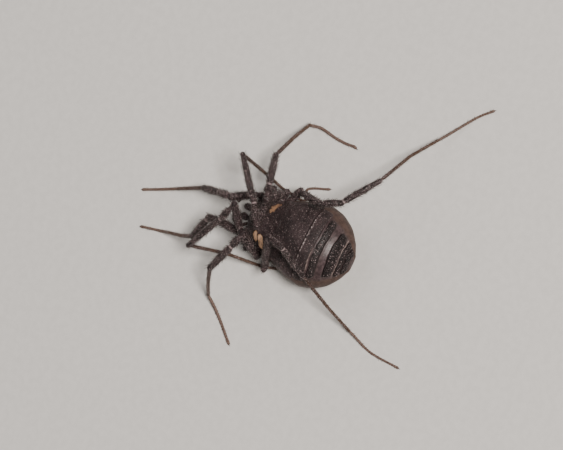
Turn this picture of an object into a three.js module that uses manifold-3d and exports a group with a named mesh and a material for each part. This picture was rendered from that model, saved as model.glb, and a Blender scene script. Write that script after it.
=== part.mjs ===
// A small black harvestman, life size, standing on eight legs in a crouched walking pose.
// Millimetres, +Z up. The floor is z = 0, the animal faces -Y, and its right side is -X.

import * as THREE from "three";
import { mergeVertices } from "three/addons/utils/BufferGeometryUtils.js";
import Module from "manifold-3d";

const wasm = await Module();
wasm.setup();

const GAP = 0.03; // between pieces that meet
const RIGHT = -1;
const LEFT = 1;
const degrees = THREE.MathUtils.degToRad;

// Body: half width, top and bottom heights at stations along the back, from the head end to the rear.
const PROSOMA = [
  { y: -0.6, half: 0.18, top: 0.72, bottom: 0.54 },
  { y: -0.54, half: 0.31, top: 0.8, bottom: 0.47 },
  { y: -0.4, half: 0.41, top: 0.88, bottom: 0.42 },
  { y: -0.27, half: 0.47, top: 0.91, bottom: 0.4 },
];
const ABDOMEN = [
  { y: -0.24, half: 0.49, top: 0.93, bottom: 0.56 },
  { y: 0.1, half: 0.63, top: 1.06, bottom: 0.5 },
  { y: 0.45, half: 0.765, top: 1.23, bottom: 0.38 },
  { y: 0.85, half: 0.89, top: 1.34, bottom: 0.31 },
  { y: 1.2, half: 0.94, top: 1.36, bottom: 0.28 },
  { y: 1.5, half: 0.86, top: 1.28, bottom: 0.3 },
  { y: 1.75, half: 0.69, top: 1.1, bottom: 0.36 },
  { y: 1.95, half: 0.44, top: 0.88, bottom: 0.44 },
  { y: 2.07, half: 0.2, top: 0.72, bottom: 0.54 },
];
const FRONT_POLE = { y: -0.62, z: 0.63 };
const REAR_POLE = { y: 2.1, z: 0.64 };
const WIDEST = 0.42; // share of the height at which a section is widest
const ROUNDNESS = 2.1; // 2 is an ellipse, more is squarer
const BODY_SIDES = 36;

// Hard plates of the back: where each begins and ends along it, and how far round the flank it goes.
const PLATE_RISE = 0.03;
const PLATE_EDGE = 0.014;
const FLANK_FADE = 6;
const SCUTUM = { from: -0.24, to: 1.085, reach: 66, furrows: [0.28, 0.6, 0.92], furrowDepth: 0.012 };
const TERGITES = [
  { from: 1.113, to: 1.375, reach: 60 },
  { from: 1.414, to: 1.57, reach: 50 },
  { from: 1.7, to: 1.82, reach: 48 },
  { from: 1.88, to: 1.96, reach: 54 },
  { from: 2.0, to: 2.07, reach: 60 },
];

// Head: eye hill, eyes, jaws and feelers.
const EYE_HILL = { y: -0.37, z: 0.9, half: 0.13, length: 0.2, height: 0.12, sink: 0.03 };
const EYE = { radius: 0.05, out: 0.1, up: 0.055 };
const JAW = {
  out: 0.115,
  y: -0.62,
  z: 0.64,
  reach: 0.15,
  drop: 0.36,
  finger: 0.14,
  radius: 0.075,
  stops: [[0, 0.7], [0.4, 1], [1, 0.95]],
};
const JAW_HAND = { pitch: -74, sides: 12, stops: [[0, 0.7], [0.3, 1], [0.8, 0.85], [1, 0.5]] };
const JAW_FINGERS = {
  spread: 14,
  pitch: -70,
  inside: 0.04,
  sides: 8,
  stops: [[0, 0.024], [0.5, 0.02], [1, 0.008]],
};
const PALP = {
  root: { out: 0.19, y: -0.6, z: 0.45 },
  sides: 10,
  stops: [[0, 0.7], [0.25, 0.9], [0.7, 1], [1, 0.85]],
  upper: { length: 0.36, radius: 0.04, bearing: 36, pitch: -6 },
  bends: [
    { length: 0.27, radius: 0.038, bearing: -30, pitch: -24 },
    { length: 0.22, radius: 0.034, bearing: -50, pitch: -50 },
    { length: 0.12, radius: 0.026, bearing: -62, pitch: -30 },
  ],
};

// Leg lengths from the hip out, one row for each pair of legs. The metatarsus has two parts, as it
// bends a little at its false joint.
const SEGMENTS = ["femur", "patella", "tibia"];
const LENGTHS = {
  1: { femur: 0.8, patella: 0.36, tibia: 0.68, metatarsus: [0.48, 0.46], tarsus: 0.88 },
  2: { femur: 1.5, patella: 0.56, tibia: 1.2, metatarsus: [0.9, 0.95], tarsus: 1.3 },
  3: { femur: 0.88, patella: 0.42, tibia: 0.78, metatarsus: [0.62, 0.61], tarsus: 1.15 },
  4: { femur: 1.36, patella: 0.53, tibia: 0.97, metatarsus: [0.95, 0.78], tarsus: 1.38 },
};
// Radii at the near end, at the thickest place and at the far end of each length.
const RADII = {
  femur: [0.05, 0.09, 0.085],
  patella: [0.058, 0.087, 0.074],
  tibia: [0.061, 0.081, 0.061],
};
const SLENDER = { 1: 1, 2: 0.9, 3: 1.02, 4: 0.87 }; // thickness of each pair of legs against the table
const THICKEST = { femur: 0.72, patella: 0.6, tibia: 0.5 };
const METATARSUS = { root: 0.038, knob: 0.047, bend: 0.041, end: 0.036, overlap: 0.02 };
const TARSUS = { root: 0.036, tip: 0.031, landing: 0.55, sole: 0.008, steps: 11, sides: 8, claw: 0.03 };
const HIPS = {
  1: { root: [0.26, -0.48, 0.46], end: [0.5, -0.6, 0.58] },
  2: { root: [0.3, -0.35, 0.47], end: [0.74, -0.37, 0.64] },
  3: { root: [0.3, -0.19, 0.45], end: [0.8, -0.04, 0.66] },
  4: { root: [0.3, -0.04, 0.41], end: [0.95, 0.27, 0.735] },
};
const HIP = { coxa: 0.115, waist: 0.074, trochanter: 0.088, end: 0.066 };

// Pose: bearing and pitch in degrees of femur, patella, tibia and both parts of the metatarsus.
// Bearing 0 is straight ahead and 90 is to the animal's right. The tarsus has only bearings, each
// with its share of the length, as it comes down to the floor by itself.
const POSE = {
  r1: {
    angles: [[-36, 39], [2, -27], [-11, -31], [-23, -30], [-22, -30]],
    tarsus: [[-25, 1]],
  },
  r2: {
    angles: [[-117, 48], [67, 15], [48, -2], [-142, -66], [-145, -66]],
    tarsus: [[183, 0.37], [71, 0.19], [154, 0.44]],
  },
  r3: {
    angles: [[-76, 68], [68, -32], [70, -15], [96, -45], [98, -45]],
    tarsus: [[170, 0.15], [188, 0.4], [181, 0.25], [173, 0.12], [192, 0.08]],
  },
  r4: {
    angles: [[180, 45], [149, -24], [121, -13], [102, -38], [115, -37]],
    tarsus: [[123, 0.68], [135, 0.32]],
  },
  l1: {
    angles: [[12, 56], [-13, -20], [-70, -21], [-11, -36], [-11, -35]],
    tarsus: [[-13, 1]],
  },
  l2: {
    angles: [[74, 52], [-69, -20], [-55, -21], [163, -36], [175, -34]],
    tarsus: [[162, 1]],
  },
  l3: {
    angles: [[53, 56], [-79, -8], [-65, -8], [-74, -59], [-76, -59]],
    tarsus: [[-138, 1]],
  },
  l4: {
    angles: [[106, 53], [-167, 19], [-136, -51], [-147, -37], [-149, -43]],
    tarsus: [[-159, 0.4], [-177, 0.6]],
  },
};

const finishes = {
  cuticle: { color: 0x1b1a1c, roughness: 0.55, metalness: 0 },
  foot: { color: 0x4a3226, roughness: 0.6, metalness: 0 },
  eye: { color: 0x050505, roughness: 0.1, metalness: 0 },
};

const harvestman = new THREE.Group();

function addMesh(name, geometry, finish) {
  const mesh = new THREE.Mesh(geometry, new THREE.MeshStandardMaterial(finishes[finish]));
  mesh.name = name;
  harvestman.add(mesh);
  return mesh;
}

// Volume enclosed by an indexed geometry, negative where its faces point inwards.
function signedVolume(position, index) {
  const [a, b, c] = [new THREE.Vector3(), new THREE.Vector3(), new THREE.Vector3()];
  let volume = 0;
  for (let i = 0; i < index.count; i += 3) {
    a.fromBufferAttribute(position, index.getX(i));
    b.fromBufferAttribute(position, index.getX(i + 1));
    c.fromBufferAttribute(position, index.getX(i + 2));
    volume += a.dot(b.cross(c)) / 6;
  }
  return volume;
}

// Keeps only the places of the vertices, shares them between faces and turns the faces outwards.
function closed(geometry) {
  geometry.deleteAttribute("normal");
  geometry.deleteAttribute("uv");
  const merged = mergeVertices(geometry, 1e-5);
  const index = merged.getIndex();
  const faces = [];
  for (let i = 0; i < index.count; i += 3) {
    const [a, b, c] = [index.getX(i), index.getX(i + 1), index.getX(i + 2)];
    if (a !== b && b !== c && c !== a) faces.push(a, b, c);
  }
  merged.setIndex(faces);
  if (signedVolume(merged.getAttribute("position"), merged.getIndex()) < 0) merged.setIndex(faces.reverse());
  return merged;
}

function toSolid(geometry) {
  const merged = closed(geometry.clone());
  return new wasm.Manifold(
    new wasm.Mesh({
      numProp: 3,
      vertProperties: new Float32Array(merged.getAttribute("position").array),
      triVerts: new Uint32Array(merged.getIndex().array),
    }),
  );
}

function toGeometry(solid) {
  const mesh = solid.getMesh();
  const geometry = new THREE.BufferGeometry();
  geometry.setAttribute("position", new THREE.BufferAttribute(mesh.vertProperties, 3));
  geometry.setIndex(new THREE.BufferAttribute(mesh.triVerts, 1));
  return geometry;
}

// The largest closed body of a solid, which drops any scrap that a cut leaves.
function largest(solid) {
  return solid.decompose().sort((a, b) => b.volume() - a.volume())[0];
}

// One closed surface through rings of points that all have the same count, with a pole at each end.
function loft(rings, startPole, endPole) {
  const sides = rings[0].length;
  const points = [startPole, ...rings.flat(), endPole];
  const last = points.length - 1;
  const faces = [];
  const at = (ring, side) => 1 + ring * sides + (side % sides);
  for (let side = 0; side < sides; side++) {
    faces.push(0, at(0, side + 1), at(0, side));
    faces.push(last, at(rings.length - 1, side), at(rings.length - 1, side + 1));
    for (let ring = 0; ring < rings.length - 1; ring++) {
      const [a, b] = [at(ring, side), at(ring, side + 1)];
      const [c, d] = [at(ring + 1, side), at(ring + 1, side + 1)];
      faces.push(a, b, d, a, d, c);
    }
  }
  const geometry = new THREE.BufferGeometry().setFromPoints(points);
  geometry.setIndex(faces);
  return closed(geometry);
}

// Smooth value of one field of the body stations at a place along the back.
function alongBody(stations, y, field) {
  const last = stations.length - 1;
  let i = 0;
  while (i < last - 1 && y > stations[i + 1].y) i++;
  const [a, b] = [stations[i], stations[i + 1]];
  const slope = (p, q) => (q[field] - p[field]) / (q.y - p.y);
  const slopeAt = (k) => {
    if (k === 0) return slope(stations[0], stations[1]);
    if (k === last) return slope(stations[last - 1], stations[last]);
    return (slope(stations[k - 1], stations[k]) + slope(stations[k], stations[k + 1])) / 2;
  };
  const width = b.y - a.y;
  const t = THREE.MathUtils.clamp((y - a.y) / width, 0, 1);
  const [t2, t3] = [t * t, t * t * t];
  return (
    (2 * t3 - 3 * t2 + 1) * a[field] +
    (t3 - 2 * t2 + t) * width * slopeAt(i) +
    (3 * t2 - 2 * t3) * b[field] +
    (t3 - t2) * width * slopeAt(i + 1)
  );
}

// A point of the body's surface: angle 0 is the middle of the back, 90 the animal's left flank.
function bodyPoint(stations, y, angle, rise) {
  const half = alongBody(stations, y, "half");
  const top = alongBody(stations, y, "top");
  const bottom = alongBody(stations, y, "bottom");
  const middle = bottom + WIDEST * (top - bottom);
  const [sine, cosine] = [Math.sin(angle), Math.cos(angle)];
  const power = 2 / ROUNDNESS;
  const height = cosine > 0 ? top - middle : middle - bottom;
  const x = Math.sign(sine) * Math.abs(sine) ** power * (half + rise);
  const z = middle + Math.sign(cosine) * Math.abs(cosine) ** power * (height + rise);
  return new THREE.Vector3(x, y, z);
}

function bodyRing(stations, y, riseAt) {
  const ring = [];
  for (let side = 0; side < BODY_SIDES; side++) {
    const angle = (side / BODY_SIDES) * 2 * Math.PI - Math.PI;
    ring.push(bodyPoint(stations, y, angle, riseAt(y, angle)));
  }
  return ring;
}

function prosomaSolid() {
  const places = [-0.6, -0.575, -0.54, -0.48, -0.4, -0.33, -0.27];
  const rings = places.map((y) => bodyRing(PROSOMA, y, () => 0));
  const last = PROSOMA[PROSOMA.length - 1];
  const back = new THREE.Vector3(0, last.y, (last.top + last.bottom) / 2);
  return toSolid(loft(rings, new THREE.Vector3(0, FRONT_POLE.y, FRONT_POLE.z), back));
}

// How far a plate of the back stands out of the skin at one place.
function plateRise(y, angle) {
  for (const plate of [SCUTUM, ...TERGITES]) {
    if (y < plate.from || y > plate.to) continue;
    const past = Math.abs(THREE.MathUtils.radToDeg(angle)) - plate.reach;
    const fade = THREE.MathUtils.clamp(1 - past / FLANK_FADE, 0, 1);
    const inFurrow = (plate.furrows ?? []).some((furrow) => Math.abs(furrow - y) < 1e-6);
    return (PLATE_RISE - (inFurrow ? SCUTUM.furrowDepth : 0)) * fade;
  }
  return 0;
}

function abdomenSolid() {
  const places = new Set([-0.12, 0.0, 0.12, 0.44, 0.52, 0.76, 0.84, 1.0, 1.635, 2.085]);
  for (const furrow of SCUTUM.furrows) [-0.025, 0, 0.025].forEach((step) => places.add(furrow + step));
  for (const plate of [SCUTUM, ...TERGITES]) {
    places.add(plate.from);
    places.add((plate.from + plate.to) / 2);
    places.add(plate.to);
    places.add(plate.to + PLATE_EDGE);
    if (plate.from > SCUTUM.from) places.add(plate.from - PLATE_EDGE);
  }
  const ordered = [...places].sort((a, b) => a - b).filter((y, i, all) => i === 0 || y - all[i - 1] > 0.004);
  const rings = ordered.map((y) => bodyRing(ABDOMEN, y, plateRise));
  const first = ABDOMEN[0];
  const front = new THREE.Vector3(0, first.y, (first.top + first.bottom) / 2);
  return toSolid(loft(rings, front, new THREE.Vector3(0, REAR_POLE.y, REAR_POLE.z)));
}

// Direction of a bearing and pitch in degrees.
function heading(bearing, pitch) {
  const [b, p] = [degrees(bearing), degrees(pitch)];
  return new THREE.Vector3(-Math.sin(b) * Math.cos(p), -Math.cos(b) * Math.cos(p), Math.sin(p));
}

// A turned rod that starts with a flat face at `start` and ends in a dome round `length`.
// stops holds pairs of share of the length and radius, and grow swells the whole rod evenly.
function rodGeometry(start, length, stops, sides, grow = 0) {
  const endRadius = stops[stops.length - 1][1] + grow;
  const profile = [new THREE.Vector2(0, start - grow)];
  if (grow > 0) profile.push(new THREE.Vector2(stops[0][1] + grow, start - grow));
  for (const [share, radius] of stops) {
    profile.push(new THREE.Vector2(radius + grow, start + share * (length - start)));
  }
  for (const turn of [30, 60]) {
    const [across, along] = [Math.cos(degrees(turn)), Math.sin(degrees(turn))];
    profile.push(new THREE.Vector2(endRadius * across, length + endRadius * along));
  }
  profile.push(new THREE.Vector2(0, length + endRadius));
  return closed(new THREE.LatheGeometry(profile, sides));
}

// Matrix that turns a rod from the Y axis to a direction and moves its joint centre to a point.
function placing(from, direction) {
  const turn = new THREE.Quaternion().setFromUnitVectors(new THREE.Vector3(0, 1, 0), direction);
  return new THREE.Matrix4().compose(from, turn, new THREE.Vector3(1, 1, 1));
}

function scaled(stops, radius) {
  return stops.map(([share, scale]) => [share, scale * radius]);
}

// Distance from a joint's centre at which the next length begins, clear of the one before it.
function clearStart(before, beforeRadius, direction, radius) {
  const straight = beforeRadius + GAP;
  const cosine = before.dot(direction);
  if (cosine >= 0) return straight;
  const sine = Math.sqrt(1 - cosine * cosine);
  return Math.max(straight, (beforeRadius + GAP - radius * cosine) / sine);
}

function segmentStops(kind, slender) {
  const [near, thick, far] = RADII[kind].map((radius) => radius * slender);
  const peak = THICKEST[kind];
  const stops = [[0, near], [0.06, near + (thick - near) * 0.55]];
  if (kind === "femur") stops.push([0.1, near * 1.05], [0.16, near + (thick - near) * 0.5]);
  stops.push([peak * 0.5, near + (thick - near) * 0.8], [peak, thick]);
  stops.push([(1 + peak) / 2, (thick * 1.1 + far) / 2.1], [1, far]);
  return stops;
}

// A tapering foot that comes down from `from` in a curve and then lies along the floor.
function tarsusGeometry(from, before, beforeRadius, length, bends, slender) {
  const first = heading(bends[0][0], -20);
  const [root, end] = [TARSUS.root * slender, TARSUS.tip * slender];
  const start = from.clone().addScaledVector(first, clearStart(before, beforeRadius, first, root));
  const rest = root - TARSUS.sole;
  const corners = [start.clone().setZ(0)];
  for (const [bearing, share] of bends) {
    corners.push(corners[corners.length - 1].clone().addScaledVector(heading(bearing, 0), share * length));
  }
  const route = new THREE.CatmullRomCurve3(corners, false, "centripetal");
  const { steps, sides } = TARSUS;
  const centres = [];
  for (let i = 0; i <= steps; i++) {
    const t = i / steps;
    const fall = Math.max(0, 1 - t / TARSUS.landing);
    const centre = route.getPointAt(t);
    const radius = THREE.MathUtils.lerp(root, end, t);
    const lying = radius - TARSUS.sole;
    centre.z = lying + (start.z - rest) * fall * fall;
    centres.push({ centre, radius });
  }
  const rings = centres.map(({ centre, radius }, i) => {
    const ahead = centres[Math.min(i + 1, steps)].centre;
    const behind = centres[Math.max(i - 1, 0)].centre;
    const along = ahead.clone().sub(behind).normalize();
    const across = new THREE.Vector3(0, 0, 1).cross(along).normalize();
    const up = along.clone().cross(across);
    const ring = [];
    for (let side = 0; side < sides; side++) {
      const angle = ((side + 0.5) / sides) * 2 * Math.PI;
      const point = centre.clone();
      point.addScaledVector(across, Math.cos(angle) * radius).addScaledVector(up, Math.sin(angle) * radius);
      point.z = Math.max(point.z, 0);
      ring.push(point);
    }
    return ring;
  });
  const lastWay = heading(bends[bends.length - 1][0], 0);
  const tip = centres[steps].centre.clone().addScaledVector(lastWay, TARSUS.claw);
  tip.z = end * 0.5;
  return loft(rings, centres[0].centre, tip);
}

function hipGeometry(length, grow) {
  const { coxa, waist, trochanter, end } = HIP;
  const thigh = [[0, coxa * 0.8], [0.2, coxa], [0.5, coxa * 0.95], [0.66, waist]];
  return rodGeometry(0, length, [...thigh, [0.8, trochanter], [1, end]], 12, grow);
}

// Adds the hip of one leg, cut clear of the hip in front of it, and returns the space that it needs.
function addHip(name, side, pair, spaceAhead) {
  const root = new THREE.Vector3(...HIPS[pair].root);
  const end = new THREE.Vector3(...HIPS[pair].end);
  root.x *= side;
  end.x *= side;
  const direction = end.clone().sub(root);
  const length = direction.length();
  direction.normalize();
  const place = placing(root, direction);
  let solid = toSolid(hipGeometry(length, 0).applyMatrix4(place));
  if (spaceAhead) solid = solid.subtract(spaceAhead);
  addMesh(`${name}_hip`, toGeometry(largest(solid)), "cuticle");
  return { end, direction, space: toSolid(hipGeometry(length, GAP).applyMatrix4(place)) };
}

// Joins the two straight parts of a metatarsus into one piece and returns where it ends.
function addMetatarsus(name, last, ways, [basal, distal], slender) {
  const { overlap } = METATARSUS;
  const [root, knob, bend, end] = ["root", "knob", "bend", "end"].map((place) => METATARSUS[place] * slender);
  const corner = last.joint.clone().addScaledVector(ways[0], basal);
  const tip = corner.clone().addScaledVector(ways[1], distal - end);
  const direction = corner.clone().sub(last.dome);
  const length = direction.length();
  direction.normalize();
  const start = clearStart(last.direction, last.radius, direction, root);
  const upper = rodGeometry(start, length, [[0, root], [0.1, knob], [0.5, (knob + bend) / 2], [1, bend]], 8);
  const lower = rodGeometry(-overlap, distal - end, [[0, bend * 0.95], [1, end]], 8);
  const solid = toSolid(upper.applyMatrix4(placing(last.dome, direction)));
  const joined = solid.add(toSolid(lower.applyMatrix4(placing(corner, ways[1]))));
  addMesh(`${name}_metatarsus`, toGeometry(largest(joined)), "foot");
  return { dome: tip, direction: ways[1], radius: end };
}

// Adds one leg. Each length is a rod whose rounded end just reaches the joint.
function addLeg(name, side, pair, spaceAhead) {
  const hip = addHip(name, side, pair, spaceAhead);
  const { angles, tarsus } = POSE[name.slice(-2)];
  const ways = angles.map((angle) => heading(...angle));
  let last = { joint: hip.end, dome: hip.end, direction: hip.direction, radius: HIP.trochanter };
  SEGMENTS.forEach((kind, i) => {
    const stops = segmentStops(kind, SLENDER[pair]);
    const endRadius = stops[stops.length - 1][1];
    const joint = last.joint.clone().addScaledVector(ways[i], LENGTHS[pair][kind]);
    const dome = joint.clone().addScaledVector(ways[i], -endRadius);
    const direction = dome.clone().sub(last.dome);
    const length = direction.length();
    direction.normalize();
    const start = clearStart(last.direction, last.radius, direction, stops[0][1]);
    const rod = rodGeometry(start, length, stops, 12).applyMatrix4(placing(last.dome, direction));
    addMesh(`${name}_${kind}`, rod, "cuticle");
    last = { joint, dome, direction, radius: endRadius * 1.08 };
  });
  const { metatarsus, tarsus: footLength } = LENGTHS[pair];
  const ankle = addMetatarsus(name, last, ways.slice(3), metatarsus, SLENDER[pair]);
  const { dome, direction, radius } = ankle;
  const foot = tarsusGeometry(dome, direction, radius, footLength, tarsus, SLENDER[pair]);
  addMesh(`${name}_tarsus`, foot, "foot");
  return hip.space;
}

function addEyeHill() {
  const hill = new THREE.SphereGeometry(1, 16, 10);
  hill.scale(EYE_HILL.half, EYE_HILL.length / 2, EYE_HILL.height);
  hill.translate(0, EYE_HILL.y, EYE_HILL.z + EYE_HILL.sink);
  let solid = toSolid(hill);
  for (const side of [RIGHT, LEFT]) {
    const centre = [side * EYE.out, EYE_HILL.y, EYE_HILL.z + EYE_HILL.sink + EYE.up];
    const socket = new THREE.SphereGeometry(EYE.radius + GAP, 12, 8).translate(...centre);
    solid = solid.subtract(toSolid(socket));
    const ball = new THREE.SphereGeometry(EYE.radius, 12, 8).translate(...centre);
    addMesh(side === RIGHT ? "eye_right" : "eye_left", closed(ball), "eye");
  }
  return solid;
}

function addJaw(name, side) {
  const root = new THREE.Vector3(side * JAW.out, JAW.y, JAW.z);
  const shoulder = new THREE.Vector3(side * JAW.out, JAW.y - JAW.reach, JAW.z);
  const placed = (geometry, from, direction) => toSolid(geometry.applyMatrix4(placing(from, direction)));
  const base = rodGeometry(GAP, JAW.reach, scaled(JAW.stops, JAW.radius), JAW_HAND.sides);
  const hand = rodGeometry(0, JAW.drop, scaled(JAW_HAND.stops, JAW.radius), JAW_HAND.sides);
  const down = heading(0, JAW_HAND.pitch);
  const wrist = shoulder.clone().addScaledVector(down, JAW.drop);
  let solid = placed(base, root, new THREE.Vector3(0, -1, 0)).add(placed(hand, shoulder, down));
  for (const spread of [-JAW_FINGERS.spread, JAW_FINGERS.spread]) {
    const finger = rodGeometry(-JAW_FINGERS.inside, JAW.finger, JAW_FINGERS.stops, JAW_FINGERS.sides);
    solid = solid.add(placed(finger, wrist, heading(spread, JAW_FINGERS.pitch)));
  }
  addMesh(name, toGeometry(largest(solid)), "cuticle");
}

function addPalp(name, side) {
  const { root, sides, stops, upper, bends } = PALP;
  const turn = (bearing) => (side === RIGHT ? bearing : -bearing);
  const from = new THREE.Vector3(side * root.out, root.y, root.z);
  const upperWay = heading(turn(upper.bearing), upper.pitch);
  const femur = rodGeometry(GAP, upper.length, scaled(stops, upper.radius), sides);
  addMesh(`${name}_upper`, femur.applyMatrix4(placing(from, upperWay)), "cuticle");
  let joint = from.clone().addScaledVector(upperWay, upper.length);
  let start = upper.radius * stops[stops.length - 1][1] + GAP;
  let solid = null;
  for (const bend of bends) {
    const way = heading(turn(bend.bearing), bend.pitch);
    const rod = rodGeometry(start, bend.length, scaled(stops, bend.radius), sides);
    const piece = toSolid(rod.applyMatrix4(placing(joint, way)));
    solid = solid ? solid.add(piece) : piece;
    joint = joint.clone().addScaledVector(way, bend.length);
    start = -bend.radius / 3;
  }
  addMesh(`${name}_lower`, toGeometry(largest(solid)), "cuticle");
}

function build() {
  const hipSpaces = [];
  for (const [letter, side] of [["r", RIGHT], ["l", LEFT]]) {
    let ahead = null;
    for (const pair of [1, 2, 3, 4]) {
      ahead = addLeg(`leg_${letter}${pair}`, side, pair, ahead);
      hipSpaces.push(ahead);
    }
  }
  addJaw("jaw_right", RIGHT);
  addJaw("jaw_left", LEFT);
  addPalp("palp_right", RIGHT);
  addPalp("palp_left", LEFT);
  const hill = addEyeHill();
  let prosoma = prosomaSolid();
  let abdomen = abdomenSolid();
  for (const space of hipSpaces) {
    prosoma = prosoma.subtract(space);
    abdomen = abdomen.subtract(space);
  }
  const shell = new THREE.SphereGeometry(1, 16, 10);
  shell.scale(EYE_HILL.half + GAP, EYE_HILL.length / 2 + GAP, EYE_HILL.height + GAP);
  shell.translate(0, EYE_HILL.y, EYE_HILL.z + EYE_HILL.sink);
  prosoma = prosoma.subtract(toSolid(shell));
  addMesh("eye_hill", toGeometry(largest(hill)), "cuticle");
  addMesh("prosoma", toGeometry(largest(prosoma)), "cuticle");
  addMesh("abdomen", toGeometry(largest(abdomen)), "cuticle");
}

// Moves the whole animal so that the floor below the middle of its box is the origin.
function centre() {
  const box = new THREE.Box3().setFromObject(harvestman, true);
  harvestman.position.set(-(box.min.x + box.max.x) / 2, -(box.min.y + box.max.y) / 2, -box.min.z);
}

build();
centre();

export default harvestman;
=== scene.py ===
"""A small black harvestman, life size, dressed over its solid frame.

The animal faces -Y and its right side is -X. Meshes are shaped in millimetres in the animal's own
frame, where x = 0 is the middle of the body, and moved into the part's frame in metres at the end.
"""

import logging
import math
from dataclasses import dataclass, field
from enum import Enum

import bpy
import numpy as np
from mathutils import Matrix, Vector


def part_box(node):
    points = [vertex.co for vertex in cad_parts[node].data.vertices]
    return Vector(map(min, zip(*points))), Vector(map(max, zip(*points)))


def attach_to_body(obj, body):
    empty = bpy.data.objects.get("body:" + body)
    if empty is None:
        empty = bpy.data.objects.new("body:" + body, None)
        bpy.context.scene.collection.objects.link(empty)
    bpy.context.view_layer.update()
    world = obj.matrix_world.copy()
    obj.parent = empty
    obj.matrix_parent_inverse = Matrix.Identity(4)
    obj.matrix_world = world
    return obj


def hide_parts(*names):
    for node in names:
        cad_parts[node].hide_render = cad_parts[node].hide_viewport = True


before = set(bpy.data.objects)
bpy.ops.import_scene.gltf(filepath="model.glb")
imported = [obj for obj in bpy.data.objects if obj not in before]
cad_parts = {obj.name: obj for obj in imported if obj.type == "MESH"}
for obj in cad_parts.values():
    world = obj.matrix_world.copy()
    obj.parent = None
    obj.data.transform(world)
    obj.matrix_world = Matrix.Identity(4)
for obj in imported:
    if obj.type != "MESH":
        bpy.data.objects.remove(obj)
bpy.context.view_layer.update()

MM = 0.001
REAR_END = 2.1  # where the abdomen ends, in the animal's own frame
UPWARDS = np.array([0.0, 0.0, 1.0])
STEEP = 0.95  # a route whose direction rises more than this begins with another side as its top
# The pale dots are painted glints on the grains.
DOT_EDGE = 0.22  # how softly the edge of a pale dot fades
HEAD_VALUES = ("pale", "foot", "hair")  # values stored in the skins of the head's pieces
LEG_VALUES = ("pale", "foot", "hair", "grain")  # values stored in the skins of legs

Colour = tuple[float, float, float]
Stops = list[tuple[float, float]]

log = logging.getLogger("harvestman")


class Side(Enum):
    """The animal's right side is -X and its left side is +X."""

    RIGHT = -1
    LEFT = 1

    @property
    def letter(self) -> str:
        """Letter of this side in the names of legs."""
        return "r" if self is Side.RIGHT else "l"

    @property
    def word(self) -> str:
        """Word of this side in the names of head pieces."""
        return self.name.lower()

    def place(self, point: tuple[float, float, float]) -> np.ndarray:
        """Puts a point of the left side on this side."""
        return np.array([self.value * point[0], point[1], point[2]])


def part_offset() -> np.ndarray:
    """Finds how far the animal's own frame is moved in the part.

    Returns:
        The offset in millimetres.
    """
    low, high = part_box("abdomen")
    return np.array([(low.x + high.x) / 2 / MM, high.y / MM - REAR_END, 0.0])


def smooth(low: float, high: float, value: np.ndarray) -> np.ndarray:
    """Rises softly from 0 to 1.

    Args:
        low: value below which the result is 0.
        high: value above which the result is 1.
        value: values to turn into shares.

    Returns:
        Shares from 0 to 1.
    """
    share = np.clip((value - low) / (high - low), 0.0, 1.0)
    return share * share * (3 - 2 * share)


def fade(low: float, high: float, value: np.ndarray) -> np.ndarray:
    """Falls softly from 1 to 0 where smooth() rises."""
    return 1 - smooth(low, high, value)


def band(low: float, high: float, edge: float, value: np.ndarray) -> np.ndarray:
    """Marks a band with soft edges.

    Args:
        low: start of the band.
        high: end of the band.
        edge: width over which each edge fades, centred on it.
        value: places to mark.

    Returns:
        1 inside the band and 0 outside it.
    """
    half = edge / 2
    return smooth(low - half, low + half, value) * fade(high - half, high + half, value)


def ridge(centre: float, width: float, value: np.ndarray) -> np.ndarray:
    """Marks a narrow line.

    Args:
        centre: middle of the line.
        width: distance over which the mark falls to about a third.
        value: places to mark.

    Returns:
        1 on the line, falling to 0 on both sides.
    """
    return np.exp(-(((value - centre) / width) ** 2))


def curve(places: np.ndarray, values: np.ndarray, wanted: np.ndarray, level: bool = False) -> np.ndarray:
    """Runs a smooth curve through points.

    Args:
        places: places of the points, in rising order.
        values: values at the points.
        wanted: places to read.
        level: whether the curve is level at its highest and lowest points.

    Returns:
        Values of the curve at the wanted places.
    """
    slope = np.diff(values) / np.diff(places)
    tangent = np.concatenate([slope[:1], (slope[:-1] + slope[1:]) / 2, slope[-1:]])
    if level:
        turning = np.concatenate([[False], slope[:-1] * slope[1:] <= 0, [False]])
        tangent = np.where(turning, 0.0, tangent)
    i = np.clip(np.searchsorted(places, wanted, side="right") - 1, 0, len(places) - 2)
    width = places[i + 1] - places[i]
    t = np.clip((wanted - places[i]) / width, 0.0, 1.0)
    t2, t3 = t * t, t * t * t
    near = (2 * t3 - 3 * t2 + 1) * values[i] + (t3 - 2 * t2 + t) * width * tangent[i]
    return near + (3 * t2 - 2 * t3) * values[i + 1] + (t3 - t2) * width * tangent[i + 1]


def along_stops(stops: Stops, share: np.ndarray) -> np.ndarray:
    """Reads a profile that is given as pairs of place and value."""
    place, value = np.array(stops).T
    return curve(place, value, share, level=True)


def unit(vector: np.ndarray) -> np.ndarray:
    """Makes a vector one long."""
    return vector / np.linalg.norm(vector)


def heading(bearing: float, pitch: float) -> np.ndarray:
    """Turns a bearing and a pitch into a direction.

    Args:
        bearing: degrees from straight ahead towards the animal's right.
        pitch: degrees above the level.

    Returns:
        The direction, one long.
    """
    b, p = math.radians(bearing), math.radians(pitch)
    return np.array([-math.sin(b) * math.cos(p), -math.cos(b) * math.cos(p), math.sin(p)])


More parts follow.
